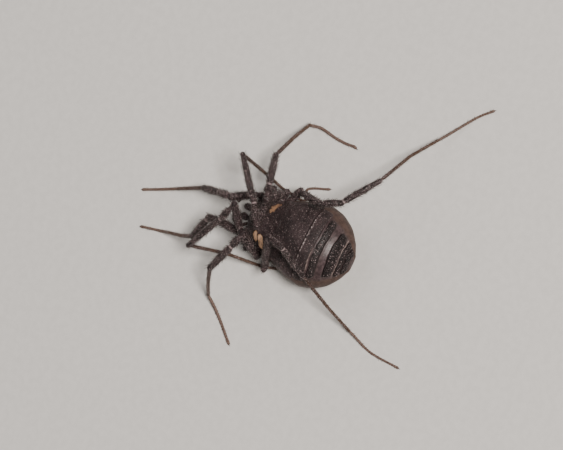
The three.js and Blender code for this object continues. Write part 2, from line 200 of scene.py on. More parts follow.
@dataclass
class Shell:
    """Closed surface of rings with a pole at each end, and values stored at its points."""

    rings: np.ndarray
    start: np.ndarray
    end: np.ndarray
    values: dict[str, np.ndarray] = field(default_factory=dict)

    def points(self) -> np.ndarray:
        """Gives all points, poles first and last."""
        return np.vstack([self.start[None], self.rings.reshape(-1, 3), self.end[None]])

    def faces(self, first: int) -> list[tuple[int, ...]]:
        """Lists the faces.

        Args:
            first: number of the shell's first point in the whole mesh.

        Returns:
            Point numbers of each face, turned outwards.
        """
        count, sides = self.rings.shape[:2]
        last = first + 1 + count * sides
        a = np.arange(sides)
        b = (a + 1) % sides
        low, high = first + 1, first + 1 + (count - 1) * sides
        faces: list[tuple[int, ...]] = [(first, int(low + j), int(low + i)) for i, j in zip(a, b)]
        for ring in range(count - 1):
            near = first + 1 + ring * sides
            far = near + sides
            faces += [(int(near + i), int(near + j), int(far + j), int(far + i)) for i, j in zip(a, b)]
        faces += [(last, int(high + i), int(high + j)) for i, j in zip(a, b)]
        return faces

    def spread(self, name: str) -> np.ndarray:
        """Gives one value for each point.

        Args:
            name: name of the stored value, which has one entry for each ring or each ring point.

        Returns:
            Values in the order of points().
        """
        count, sides = self.rings.shape[:2]
        value = self.values[name]
        if value.shape[0] == count and value.ndim == 1:
            value = np.repeat(value[:, None], sides, axis=1)
        if value.ndim == 2 and value.shape == (count, 3):
            value = np.repeat(value[:, None, :], sides, axis=1)
        flat = value.reshape(count * sides, -1)
        first, last = flat[:sides].mean(axis=0), flat[-sides:].mean(axis=0)
        return np.vstack([first[None], flat, last[None]])


def ring_values(keys: tuple[str, ...], count: int, **given: np.ndarray | float) -> dict[str, np.ndarray]:
    """Fills the stored values of one length.

    Args:
        keys: names of the values.
        count: number of rings.
        given: values that are not 0.

    Returns:
        Values for each ring.
    """
    return {key: np.zeros(count) + given.get(key, 0.0) for key in keys}


def lay_out(shells: list[Shell], length: float, step: float) -> None:
    """Gives each shell its own strip of the unwrap, from which bristles and grains take their places.

    Args:
        shells: shells of one piece.
        length: length of a strip.
        step: distance from the start of one strip to the start of the next.
    """
    for k, shell in enumerate(shells):
        count, sides = shell.rings.shape[:2]
        along = np.linspace(0, 1, count)[:, None] * length + k * step
        around = np.linspace(0, 1, sides)[None]
        flat = 0 * along * around
        shell.values["place"] = np.stack([along + flat, around + flat, flat], -1)


def finished(name: str, shells: list[Shell], material: bpy.types.Material) -> bpy.types.Object:
    """Makes one piece of closed shells, in place and in metres.

    Args:
        name: name of the piece.
        shells: shells in millimetres in the animal's own frame.
        material: finish of the piece.

    Returns:
        The new object, which sits at the origin.
    """
    points, faces = [], []
    count = 0
    for shell in shells:
        faces += shell.faces(count)
        points.append(shell.points())
        count += len(points[-1])
    mesh = bpy.data.meshes.new(name)
    mesh.from_pydata((np.vstack(points) + part_offset()) * MM, [], faces)
    for key in shells[0].values:
        stored = np.vstack([shell.spread(key) for shell in shells])
        kind, entry = ("FLOAT", "value") if stored.shape[1] == 1 else ("FLOAT_VECTOR", "vector")
        attribute = mesh.attributes.new(key, kind, "POINT")
        attribute.data.foreach_set(entry, stored.astype(np.float32).ravel())
    mesh.materials.append(material)
    mesh.shade_smooth()
    piece = bpy.data.objects.new(name, mesh)
    bpy.context.scene.collection.objects.link(piece)
    return piece


def attach(piece: bpy.types.Object, slot: str, *nodes: str) -> None:
    """Ties a finished piece to the frame and reports it.

    Args:
        piece: the finished piece.
        slot: not used.
        nodes: frame nodes that it stands for.
    """
    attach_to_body(piece, "root")
    if nodes:
        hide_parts(*nodes)
    piece.data.calc_loop_triangles()
    log.info("%s: %d triangles", piece.name, len(piece.data.loop_triangles))


def tube(
    route: np.ndarray,
    radii: np.ndarray,
    sides: int,
    values: dict[str, np.ndarray] | None = None,
    poles: tuple[float, float] = (0.0, 0.0),
) -> Shell:
    """Sweeps rings along a route.

    Args:
        route: centres of the rings.
        radii: radius of each ring.
        sides: points of a ring.
        values: values to store for each ring.
        poles: how far the end points stand out past the first and the last ring.

    Returns:
        The shell.
    """
    way = np.gradient(route, axis=0)
    way /= np.linalg.norm(way, axis=1)[:, None]
    up = UPWARDS
    if abs(way[0] @ up) > STEEP:
        up = np.array([0.0, -1.0, 0.0])
    frames = []
    for step in way:
        up = unit(up - (up @ step) * step)
        frames.append((np.cross(up, step), up))
    across = np.array([f[0] for f in frames])
    above = np.array([f[1] for f in frames])
    angle = np.linspace(0, 2 * np.pi, sides, endpoint=False)[:, None]
    out = across[:, None] * np.cos(angle) + above[:, None] * np.sin(angle)
    rings = route[:, None] + out * radii[:, None, None]
    stored = dict(values or {})
    stored["along"] = way
    start = route[0] - way[0] * poles[0]
    end = route[-1] + way[-1] * poles[1]
    return Shell(rings, start, end, stored)


class Nodes:
    """Short way to write a node tree."""

    tree: bpy.types.NodeTree

    def node(
        self, kind: str, settings: dict[str, object] | None = None, **inputs: object
    ) -> bpy.types.Node:
        """Adds a node.

        Args:
            kind: Blender's name of the node.
            settings: properties of the node.
            inputs: values or sockets for its inputs, with "_" for a space in the input's name.

        Returns:
            The node.
        """
        node = self.tree.nodes.new(kind)
        for key, value in (settings or {}).items():
            setattr(node, key, value)
        for key, value in inputs.items():
            self.feed(node.inputs[key.replace("_", " ")], value)
        return node

    def feed(self, socket: bpy.types.NodeSocket, value: object) -> None:
        """Links a socket or sets its value.

        Args:
            socket: input to feed.
            value: another node's output, or a plain value.
        """
        if isinstance(value, bpy.types.NodeSocket):
            self.tree.links.new(value, socket)
        elif isinstance(value, tuple) and len(value) == 3 and socket.type == "RGBA":
            socket.default_value = (*value, 1.0)
        else:
            socket.default_value = value

    def maths(self, operation: str, first: object, second: object = 0.0) -> bpy.types.NodeSocket:
        """Works out one sum of two values.

        Args:
            operation: Blender's name of it.
            first: first value.
            second: second value.

        Returns:
            The result.
        """
        made = self.node("ShaderNodeMath", {"operation": operation})
        self.feed(made.inputs[0], first)
        self.feed(made.inputs[1], second)
        return made.outputs[0]


class Shader(Nodes):
    """Short way to write the nodes of a material."""

    def __init__(self, name: str) -> None:
        """Starts an empty material with its output.

        Args:
            name: name of the material.
        """
        self.material = bpy.data.materials.new(name)
        self.material.use_nodes = True
        self.tree = self.material.node_tree
        self.tree.nodes.clear()
        self.output = self.tree.nodes.new("ShaderNodeOutputMaterial")
        self.place = self.node("ShaderNodeTexCoord").outputs["Object"]

    def noise(self, per_mm: float, detail: float = 3.0, rough: float = 0.55) -> bpy.types.NodeSocket:
        """Adds cloudy noise.

        Args:
            per_mm: how many waves there are in a millimetre.
            detail: how many finer layers it has.
            rough: strength of the finer layers.

        Returns:
            The noise, about 0.5 in the middle.
        """
        made = self.node(
            "ShaderNodeTexNoise", Vector=self.place, Scale=per_mm / MM, Detail=detail, Roughness=rough
        )
        return made.outputs["Fac"]

    def cells(self, per_mm: float) -> bpy.types.NodeSocket:
        """Adds a field of cells.

        Args:
            per_mm: how many cells there are in a millimetre.

        Returns:
            The distance from the middle of the cell.
        """
        return self.node("ShaderNodeTexVoronoi", Vector=self.place, Scale=per_mm / MM).outputs["Distance"]

    def ramp(
        self, value: object, low: float, high: float, start: float = 0.0, end: float = 1.0
    ) -> bpy.types.NodeSocket:
        """Maps a range softly onto another.

        Args:
            value: what to map.
            low: its value at the start.
            high: its value at the end.
            start: result at the start.
            end: result at the end.

        Returns:
            The mapped value.
        """
        made = self.node(
            "ShaderNodeMapRange", {"interpolation_type": "SMOOTHSTEP"},
            Value=value, From_Min=low, From_Max=high, To_Min=start, To_Max=end,
        )
        return made.outputs["Result"]

    def blend(self, share: object, first: object, second: object) -> bpy.types.NodeSocket:
        """Blends two colours.

        Args:
            share: how much of the second colour is used.
            first: first colour.
            second: second colour.

        Returns:
            The blended colour.
        """
        made = self.node("ShaderNodeMix", {"data_type": "RGBA"})
        self.feed(made.inputs[0], share)
        self.feed(made.inputs[6], first)
        self.feed(made.inputs[7], second)
        return made.outputs[2]

    def product(self, *values: object) -> bpy.types.NodeSocket:
        """Multiplies values, from the first to the last.

        Args:
            values: plain values or sockets.

        Returns:
            The product.
        """
        result = values[0]
        for value in values[1:]:
            result = self.maths("MULTIPLY", result, value)
        return result

    def stored(self, name: str) -> bpy.types.NodeSocket:
        """Reads a value that is stored at the mesh's points."""
        return self.node("ShaderNodeAttribute", {"attribute_name": name}).outputs["Fac"]

    def bump(self, height: object, depth_mm: float, below: object | None = None) -> bpy.types.NodeSocket:
        """Adds small relief.

        Args:
            height: height from 0 to 1.
            depth_mm: real height of 1.
            below: relief that this one lies on.

        Returns:
            The new normal.
        """
        made = self.node("ShaderNodeBump", Height=height, Distance=depth_mm * MM, Strength=1.0)
        if below is not None:
            self.feed(made.inputs["Normal"], below)
        return made.outputs["Normal"]

    def surface(self, **inputs: object) -> bpy.types.Material:
        """Ends the material with its surface.

        Args:
            inputs: values or sockets of the surface, with "_" for a space in the input's name.

        Returns:
            The finished material.
        """
        made = self.node("ShaderNodeBsdfPrincipled", **inputs)
        self.tree.links.new(made.outputs["BSDF"], self.output.inputs["Surface"])
        return self.material


class Form(Enum):
    """Small shapes that grow from a skin."""

    BRISTLE = "bristle"
    GRAIN = "grain"


@dataclass(frozen=True)
class Growth:
    """Bristles or grains that grow all over a skin, in millimetres."""

    form: Form
    share: str
    spacing: float
    length: float
    radius: float
    lean: float = 0.0
    bend: float = 0.0
    seed: int = 1

    def sizes(self) -> dict[str, float]:
        """Lists the sizes that the tree takes as inputs.

        Returns:
            Sizes by the name of the input.
        """
        return {
            "Spacing": self.spacing, "Length": self.length, "Radius": self.radius,
            "Lean": math.radians(self.lean), "Bend": self.bend,
        }

    def over(self, skin: bpy.types.Object, name: str, material: bpy.types.Material) -> bpy.types.Object:
        """Grows them on a skin as one plain mesh.

        Args:
            skin: the skin, which stays as it is.
            name: name of the new piece.
            material: finish of the new piece.

        Returns:
            The new piece.
        """
        tree = GrowthTree(self, material)
        base = bpy.data.objects.new(name, skin.data.copy())
        bpy.context.scene.collection.objects.link(base)
        modifier = base.modifiers.new("growth", "NODES")
        modifier.node_group = tree.tree
        for key, value in self.sizes().items():
            modifier[tree.inputs[key]] = value
        modifier[tree.inputs["Seed"]] = self.seed
        bpy.context.view_layer.update()
        evaluated = base.evaluated_get(bpy.context.evaluated_depsgraph_get())
        mesh = bpy.data.meshes.new_from_object(evaluated)
        base.modifiers.remove(modifier)
        base.data = mesh
        for spare in ("place", "along"):
            mesh.attributes.remove(mesh.attributes[spare])
        mesh.name = name
        return base


class GrowthTree(Nodes):
    """Geometry Nodes that set a small shape all over a skin, each on its own patch of the unwrap."""

    PATCH = 0.003
    DENSITY = 3.0
    LEAST_SHARE = 0.1
    LEAN_SPREAD = 0.22
    ASIDE_SPREAD = 0.3
    SIZE_SPREAD = (0.65, 1.25)
    TIP_RADIUS = 0.35
    SUNK = 0.8
    FLOOR_REACH = 1.3
    FLOOR_CLEARANCE = 0.004

    def __init__(self, growth: Growth, material: bpy.types.Material) -> None:
        """Builds the tree.

        Args:
            growth: what grows.
            material: finish of the result.
        """
        self.tree = bpy.data.node_groups.new(growth.form.value, "GeometryNodeTree")
        face = self.tree.interface
        face.new_socket("Geometry", in_out="INPUT", socket_type="NodeSocketGeometry")
        face.new_socket("Geometry", in_out="OUTPUT", socket_type="NodeSocketGeometry")
        self.inputs: dict[str, str] = {}
        for key in (*growth.sizes(), "Seed"):
            kind = "NodeSocketInt" if key == "Seed" else "NodeSocketFloat"
            self.inputs[key] = face.new_socket(key, in_out="INPUT", socket_type=kind).identifier
        self.given = self.node("NodeGroupInput").outputs
        shape, own = self.bristle() if growth.form is Form.BRISTLE else self.grain()
        grown = self.scatter(growth.share, self.kept(shape, "own", "FLOAT_VECTOR", own))
        grown = self.unwrapped(grown)
        small = self.node("GeometryNodeTransform", Geometry=grown, Scale=(MM, MM, MM))
        shaded = self.node("GeometryNodeSetShadeSmooth", Geometry=small.outputs[0])
        ended = self.node("GeometryNodeSetMaterial", Geometry=shaded.outputs[0], Material=material)
        self.feed(self.node("NodeGroupOutput").inputs[0], ended.outputs[0])

    def stored(self, name: str, kind: str = "FLOAT") -> bpy.types.NodeSocket:
        """Reads a value that is stored at the points."""
        made = self.node("GeometryNodeInputNamedAttribute", {"data_type": kind}, Name=name)
        return made.outputs["Attribute"]

    def kept(self, mesh: object, name: str, kind: str, value: object) -> bpy.types.NodeSocket:
        """Stores a value at the face corners.

        Args:
            mesh: mesh to store it in.
            name: name of the value.
            kind: Blender's name of its type.
            value: the value.

        Returns:
            The mesh with it.
        """
        made = self.node("GeometryNodeStoreNamedAttribute", {"data_type": kind, "domain": "CORNER"})
        for key, given in {"Geometry": mesh, "Name": name, "Value": value}.items():
            self.feed(made.inputs[key], given)
        return made.outputs[0]

    def vector(self, operation: str, first: object, second: object) -> bpy.types.NodeSocket:
        """Works out one sum of two vectors.

        Args:
            operation: Blender's name of it.
            first: first vector.
            second: second vector, or a plain factor when the operation is SCALE.

        Returns:
            The result.
        """
        made = self.node("ShaderNodeVectorMath", {"operation": operation})
        self.feed(made.inputs[0], first)
        self.feed(made.inputs[3 if operation == "SCALE" else 1], second)
        return made.outputs[0]

    def height_of(self, vector: object) -> bpy.types.NodeSocket:
        """Reads how high a place lies or a direction rises."""
        return self.node("ShaderNodeSeparateXYZ", Vector=vector).outputs["Z"]

    def position(self) -> bpy.types.NodeSocket:
        """Reads the place of a point."""
        return self.node("GeometryNodeInputPosition").outputs[0]

    def between(self, low: float, high: float, shift: int) -> bpy.types.NodeSocket:
        """Draws a random value for each point.

        Args:
            low: least value.
            high: greatest value.
            shift: added to the seed, so that draws differ.

        Returns:
            The value.
        """
        made = self.node("FunctionNodeRandomValue", {"data_type": "FLOAT"})
        self.feed(made.inputs[2], low)
        self.feed(made.inputs[3], high)
        self.feed(made.inputs[8], self.maths("ADD", self.given["Seed"], shift))
        return made.outputs[1]

    def bristle(self) -> tuple[bpy.types.NodeSocket, bpy.types.NodeSocket]:
        """Makes one bristle that stands on its root and bends over.

        Returns:
            The mesh and its own unwrap.
        """
        length, radius = self.given["Length"], self.given["Radius"]
        cone = self.node(
            "GeometryNodeMeshCone", {"fill_type": "NGON"}, Vertices=4, Side_Segments=3,
            Radius_Bottom=radius, Radius_Top=self.maths("MULTIPLY", radius, self.TIP_RADIUS), Depth=length,
        )
        height = self.maths("DIVIDE", self.height_of(self.position()), length)
        reach = self.maths("MULTIPLY", self.given["Bend"], length)
        over = self.maths("MULTIPLY", self.maths("MULTIPLY", height, height), reach)
        sunk = self.maths("MULTIPLY", radius, -self.SUNK)
        offset = self.node("ShaderNodeCombineXYZ", X=over, Z=sunk)
        bent = self.node("GeometryNodeSetPosition", Geometry=cone.outputs["Mesh"], Offset=offset.outputs[0])
        return bent.outputs[0], cone.outputs["UV Map"]

    def grain(self) -> tuple[bpy.types.NodeSocket, bpy.types.NodeSocket]:
        """Makes one low rounded grain.

        Returns:
            The mesh and its own unwrap.
        """
        radius = self.given["Radius"]
        ball = self.node("GeometryNodeMeshIcoSphere", Radius=radius, Subdivisions=1)
        height = self.maths("DIVIDE", self.given["Length"], radius)
        size = self.node("ShaderNodeCombineXYZ", X=1.0, Y=1.0, Z=height)
        flat = self.node("GeometryNodeTransform", Geometry=ball.outputs["Mesh"], Scale=size.outputs[0])
        return flat.outputs[0], ball.outputs["UV Map"]

    def scatter(self, share_name: str, shape: bpy.types.NodeSocket) -> bpy.types.NodeSocket:
        """Sets the shape all over the skin, leaning along it and clear of the floor.

        Args:
            share_name: name of the stored value that says where the shape grows and how large.
            shape: mesh of one piece.

        Returns:
            The pieces as one mesh, in millimetres.
        """
        share, spacing = self.stored(share_name), self.given["Spacing"]
        large = self.node(
            "GeometryNodeTransform", Geometry=self.given["Geometry"], Scale=(1 / MM, 1 / MM, 1 / MM)
        )
        spots = self.node(
            "GeometryNodeDistributePointsOnFaces", {"distribute_method": "POISSON"},
            Mesh=large.outputs[0], Distance_Min=spacing, Seed=self.given["Seed"],
            Density_Max=self.maths("DIVIDE", self.DENSITY, self.maths("MULTIPLY", spacing, spacing)),
            Density_Factor=self.maths("GREATER_THAN", share, self.LEAST_SHARE),
        )
        normal = spots.outputs["Normal"]
        lean = self.maths("ADD", self.given["Lean"], self.between(-self.LEAN_SPREAD, self.LEAN_SPREAD, 1))
        along = self.stored("along", "FLOAT_VECTOR")
        aside = self.vector("CROSS_PRODUCT", along, normal)
        veer = self.between(-self.ASIDE_SPREAD, self.ASIDE_SPREAD, 2)
        way = self.vector("ADD", along, self.vector("SCALE", aside, veer))
        standing = self.vector("SCALE", normal, self.maths("COSINE", lean))
        direction = self.vector("ADD", standing, self.vector("SCALE", way, self.maths("SINE", lean)))
        upright = self.node("FunctionNodeAlignRotationToVector", {"axis": "Z"}, Vector=direction)
        turned = self.node(
            "FunctionNodeAlignRotationToVector", {"axis": "X", "pivot_axis": "Z"},
            Rotation=upright.outputs[0], Vector=way,
        )
        size = self.maths("MULTIPLY", share, self.between(*self.SIZE_SPREAD, 3))
        reach = self.maths("MULTIPLY", self.given["Length"], self.FLOOR_REACH)
        drop = self.maths("MULTIPLY", self.height_of(direction), reach)
        lowest = self.maths("ADD", self.height_of(self.position()), drop)
        set_out = self.node(
            "GeometryNodeInstanceOnPoints", Points=spots.outputs["Points"], Instance=shape,
            Selection=self.maths("GREATER_THAN", lowest, self.FLOOR_CLEARANCE),
            Rotation=turned.outputs[0], Scale=size,
        )
        return self.node("GeometryNodeRealizeInstances", Geometry=set_out.outputs[0]).outputs[0]

    def unwrapped(self, pieces: bpy.types.NodeSocket) -> bpy.types.NodeSocket:
        """Lays each piece on a small patch of the unwrap, at its root's place on the skin.

        Args:
            pieces: the pieces, with their own unwrap in "own".

        Returns:
            The pieces with the unwrap OFBake.
        """
        centred = self.vector("SUBTRACT", self.stored("own", "FLOAT_VECTOR"), (0.5, 0.5, 0.0))
        patch = self.vector("SCALE", centred, self.PATCH)
        place = self.vector("ADD", self.stored("place", "FLOAT_VECTOR"), patch)
        laid = self.kept(pieces, "OFBake", "FLOAT2", place)
        return self.node("GeometryNodeRemoveAttribute", Geometry=laid, Name="own").outputs[0]


@dataclass(frozen=True)
class PlateAndSkin:
    """Finish of head and abdomen: granular plates with painted glints, glossy soft skin between them with a
    painted highlight on the wide fold, painted shade in the grooves, pale gold spots.
    """

    plate: Colour = (0.015, 0.0095, 0.01)
    plate_light: Colour = (0.045, 0.0295, 0.031)
    deep: Colour = (0.007, 0.0045, 0.0045)
    # The next two colours are painted glints: pale dots on the grains, and highlights on the pearly row
    # along the rim.
    painted_glint: Colour = (0.33, 0.25, 0.25)
    pearl: Colour = (0.5, 0.42, 0.42)
    skin: Colour = (0.034, 0.024, 0.024)
    skin_light: Colour = (0.07, 0.048, 0.048)
    pale_skin: Colour = (0.044, 0.029, 0.031)
    pale_skin_light: Colour = (0.09, 0.062, 0.066)
    flank: Colour = (0.078, 0.048, 0.039)
    flank_dark: Colour = (0.043, 0.0255, 0.0215)
    flank_light: Colour = (0.15, 0.1, 0.085)
    cream: Colour = (0.28, 0.215, 0.195)
    gold: Colour = (0.96, 0.62, 0.4)
    gold_dark: Colour = (0.36, 0.2, 0.115)
    # Painted shade in the grooves before the ring plates and in the wide fold's crease.
    groove: Colour = (0.008, 0.005, 0.005)
    name: str = "plate_and_skin"
    # dot and sparkle set the size and strength of the painted glints.
    dot: float = 0.3
    painted_glintle: float = 0.75
    specular: float = 0.3
    roughness: float = 0.42
    grains_per_mm: float = 30.0
    small_grains_per_mm: float = 62.0
    grain_height: float = 0.007
    small_grain_height: float = 0.004
    fine_height: float = 0.0016

    def material(self) -> bpy.types.Material:
        """Builds the material.

        Returns:
            The finished material.
        """
        s = Shader(self.name)
        fine = s.noise(40.0, 3.0, 0.65)
        grain, small = s.cells(self.grains_per_mm), s.cells(self.small_grains_per_mm)
        plate, cream, flank = s.stored("plate"), s.stored("cream"), s.stored("flank")
        colour = s.blend(plate, self.soft(s, flank), self.hard(s, grain, small))
        # The cream line, and the painted highlight along the first ring plate's rear edge, both broken by
        # noise.
        broken_line = s.ramp(s.noise(13.0), 0.38, 0.58, 0.2, 1.0)
        colour = s.blend(s.product(cream, broken_line), colour, self.cream)
        colour = self.spots(s, colour)
        # Painted shade in the grooves and the crease.
        colour = s.blend(s.stored("groove"), colour, self.groove)
        relief = s.maths("ADD", s.product(plate, 0.9), 0.1)
        normal = s.bump(s.product(s.ramp(grain, 0.5, 0.05), relief), self.grain_height)
        normal = s.bump(s.product(s.ramp(small, 0.5, 0.05), relief), self.small_grain_height, normal)
        normal = s.bump(fine, self.fine_height, normal)
        rough = s.ramp(plate, 0.0, 1.0, 0.33, self.roughness)
        duller = s.maths("ADD", s.ramp(flank, 0.0, 1.0, 0.0, 0.2), s.ramp(cream, 0.0, 1.0, 0.0, 0.2))
        rough = s.maths("ADD", rough, duller)
        rough = s.maths("ADD", rough, s.ramp(fine, 0.3, 0.7, -0.05, 0.08))
        return s.surface(
            Base_Color=colour, Roughness=rough, Normal=normal, Specular_IOR_Level=self.specular
        )

    def hard(self, s: Shader, grain: object, small: object) -> bpy.types.NodeSocket:
        """Colours the hard plates: cloudy charcoal with painted glints as pale dots, and painted highlights
        in pearl on the row of grains along the rim.

        Args:
            s: the material.
            grain: distance in the cells of the larger grains.
            small: distance in the cells of the smaller grains.

        Returns:
            The colour.
        """
        colour = s.blend(s.ramp(s.noise(3.5, 4.0), 0.35, 0.7), self.plate, self.plate_light)
        colour = s.blend(s.ramp(small, 0.5, 0.15, 0.0, 0.35), colour, self.plate_light)
        # Painted glints: pale dots on some grain cells.
        painted_glint = s.product(s.ramp(grain, self.dot, self.dot - DOT_EDGE), s.ramp(s.noise(24.0), 0.5, 0.66))
        colour = s.blend(s.product(s.stored("deep"), 0.75), colour, self.deep)
        colour = s.blend(s.product(painted_glint, self.painted_glintle), colour, self.painted_glint)
        # Painted highlights on the row of pearly grains along the rim.
        pearls = s.product(s.stored("rim"), s.ramp(s.noise(17.0), 0.48, 0.58), 0.8)
        return s.blend(pearls, colour, self.pearl)

    def soft(self, s: Shader, flank: object) -> bpy.types.NodeSocket:
        """Colours the soft skin: dark between plates, pale in the wide fold, partly as a painted highlight,
        and brown on the flank.

        Args:
            s: the material.
            flank: share of the flank.

        Returns:
            The colour.
        """
        streak = s.ramp(s.noise(14.0), 0.35, 0.65)
        colour = s.blend(streak, self.skin, self.skin_light)
        # Pale folds, the wide one with its painted highlight.
        colour = s.blend(s.stored("pale"), colour, s.blend(streak, self.pale_skin, self.pale_skin_light))
        side = s.blend(s.ramp(s.noise(9.0, 4.0), 0.3, 0.7), self.flank_dark, self.flank)
        side = s.blend(s.ramp(s.cells(38.0), 0.45, 0.1, 0.0, 0.3), side, self.flank_light)
        return s.blend(flank, colour, side)

    def spots(self, s: Shader, below: object) -> bpy.types.NodeSocket:
        """Colours the pale gold spots, which have broken edges.

        Args:
            s: the material.
            below: colour that they lie on.

        Returns:
            The colour.
        """
        gold = s.stored("gold")
        lit = s.product(s.ramp(s.noise(12.0, 4.0), 0.35, 0.55, 0.35, 1.0), s.ramp(gold, 0.45, 0.9))
        speckled = s.blend(lit, self.gold_dark, self.gold)
        broken = s.maths("ADD", gold, s.ramp(s.noise(20.0, 4.0), 0.3, 0.7, -0.3, 0.2))
        share = s.product(s.ramp(broken, 0.15, 0.5), s.ramp(gold, 0.02, 0.2))
        return s.blend(share, below, speckled)


@dataclass(frozen=True)
class LegSkin:
    """Finish of legs, jaws and feelers: charcoal with painted glints as pale specks, brown feet and pale
    soft joints.
    """

    dark: Colour = (0.008, 0.0045, 0.0049)
    light: Colour = (0.047, 0.0295, 0.031)
    # Pale speck colour: painted glints on the grains.
    painted_speck: Colour = (0.54, 0.43, 0.43)
    shin: Colour = (0.042, 0.02, 0.012)
    shin_light: Colour = (0.1, 0.055, 0.034)
    toe: Colour = (0.06, 0.034, 0.026)
    toe_light: Colour = (0.19, 0.12, 0.088)
    pale: Colour = (0.26, 0.2, 0.2)
    name: str = "leg_skin"
    # dot, sparkle and foot_sparkle set the size and strength of the painted glints.
    dot: float = 0.38
    painted_glintle: float = 0.8
    foot_sparkle: float = 0.35
    specular: float = 0.3
    grains_per_mm: float = 32.0
    small_grains_per_mm: float = 70.0
    grain_height: float = 0.01
    small_grain_height: float = 0.005
    fine_height: float = 0.0016

    def material(self) -> bpy.types.Material:
        """Builds the material.

        Returns:
            The finished material.
        """
        s = Shader(self.name)
        foot = s.stored("foot")
        fine = s.noise(50.0, 3.0, 0.65)
        grain, small = s.cells(self.grains_per_mm), s.cells(self.small_grains_per_mm)
        hard = s.blend(s.ramp(s.noise(8.0, 4.0), 0.35, 0.7), self.dark, self.light)
        hard = s.blend(s.ramp(small, 0.5, 0.15, 0.0, 0.4), hard, self.light)
        shin = s.blend(s.ramp(fine, 0.35, 0.68), self.shin, self.shin_light)
        toe = s.blend(s.ramp(fine, 0.35, 0.68), self.toe, self.toe_light)
        brown = s.blend(s.ramp(foot, 0.5, 1.0), shin, toe)
        colour = s.blend(s.ramp(foot, 0.0, 0.5), hard, brown)
        # Painted glints: pale specks on some grain cells, weaker on the brown feet.
        painted_speck = s.product(s.ramp(grain, self.dot, self.dot - DOT_EDGE), s.ramp(s.noise(26.0), 0.46, 0.56))
        strength = s.ramp(foot, 0.4, 1.0, self.painted_glintle, self.foot_sparkle)
        colour = s.blend(s.product(painted_speck, strength), colour, self.painted_speck)
        colour = s.blend(s.stored("pale"), colour, self.pale)
        normal = s.bump(s.ramp(grain, 0.5, 0.05), self.grain_height)
        normal = s.bump(s.ramp(small, 0.5, 0.05), self.small_grain_height, normal)
        normal = s.bump(fine, self.fine_height, normal)
        rough = s.ramp(fine, 0.3, 0.7, 0.3, 0.46)
        return s.surface(
            Base_Color=colour, Roughness=rough, Normal=normal, Specular_IOR_Level=self.specular
        )


@dataclass(frozen=True)
class Horn:
    """Finish of bristles, claws and the fine teeth of the jaws."""

    name: str = "horn"
    dark: Colour = (0.012, 0.008, 0.0075)
    light: Colour = (0.14, 0.1, 0.09)
    roughness: tuple[float, float] = (0.22, 0.4)

    def material(self) -> bpy.types.Material:
        """Builds the material.

        Returns:
            The finished material.
        """
        s = Shader(self.name)
        fine = s.noise(24.0, 2.0)
        colour = s.blend(s.ramp(fine, 0.5, 0.7), self.dark, self.light)
        rough = s.ramp(fine, 0.3, 0.7, *self.roughness)
        return s.surface(Base_Color=colour, Roughness=rough, Normal=s.bump(fine, 0.001))


@dataclass(frozen=True)
class EyeGlass:
    """Finish of the eyes: glossy black with a faint brown depth."""

    name: str = "eye_glass"
    dark: Colour = (0.004, 0.004, 0.004)
    light: Colour = (0.03, 0.018, 0.012)
    roughness: tuple[float, float] = (0.04, 0.1)
    coat_roughness: float = 0.03

    def material(self) -> bpy.types.Material:
        """Builds the material.

        Returns:
            The finished material.
        """
        s = Shader(self.name)
        cloud = s.noise(30.0, 2.0)
        colour = s.blend(s.ramp(cloud, 0.4, 0.7), self.dark, self.light)
        rough = s.ramp(cloud, 0.3, 0.7, *self.roughness)
        return s.surface(
            Base_Color=colour, Roughness=rough, Normal=s.bump(cloud, 0.0004),
            Coat_Weight=1.0, Coat_Roughness=self.coat_roughness,
        )


@dataclass
class Plate:
    """Hard plate of the back: its place along the back and how far round the flank it goes."""

    start: float
    end: float
    reach: float
    corner: float = 0.05

    def cover(self, y: np.ndarray, turn: np.ndarray, arc: np.ndarray, edge: float) -> np.ndarray:
        """Works out what the plate covers.

        Args:
            y: places along the back.
            turn: angles from the middle of the back, in degrees.
            arc: length of one degree round the body, in millimetres.
            edge: width of its sloping edge.

        Returns:
            1 on the plate and 0 off it.
        """
        across = (turn - self.reach) * arc + self.corner
        along = np.abs(y - (self.start + self.end) / 2) - (self.end - self.start) / 2 + self.corner
        outside = np.hypot(np.maximum(across, 0), np.maximum(along, 0))
        outside = outside + np.minimum(np.maximum(across, along), 0)
        return fade(self.corner - edge / 2, self.corner + edge / 2, outside)

    def arch(self, y: np.ndarray) -> np.ndarray:
        """Rises from 0 at the plate's front and rear edges to 1 in its middle."""
        return np.clip(1 - ((y - (self.start + self.end) / 2) / (self.end - self.start) * 2) ** 2, 0, 1)


@dataclass
class Spot:
    """Pale gold spot on the shoulder: its corners seen from above and how pale it is."""

    corners: list[tuple[float, float]]
    paleness: float
    sharpness: float = 55.0
    spread: float = 0.008

    def cover(self, x: np.ndarray, y: np.ndarray, edge: float) -> np.ndarray:
        """Works out what the spot covers.

        Args:
            x: places across the body.
            y: places along the body.
            edge: width over which its rim fades.

        Returns:
            Its paleness inside it and 0 outside.
        """
        sides = list(zip(self.corners, self.corners[1:] + self.corners[:1]))
        turned = np.sign(sum(ax * by - bx * ay for (ax, ay), (bx, by) in sides))
        past = 0 * x
        for (ax, ay), (bx, by) in sides:
            out = turned * ((x - ax) * (by - ay) - (y - ay) * (bx - ax)) / math.hypot(bx - ax, by - ay)
            past = past + np.exp(np.clip(out * self.sharpness, -60, 60))
        ragged = 0.006 * np.sin(40 * x + 25 * y)
        finely_ragged = 0.004 * np.sin(90 * y - 60 * x)
        depth = -np.log(past) / self.sharpness + ragged + finely_ragged
        return smooth(-edge / 2, edge / 2, depth + self.spread) * self.paleness


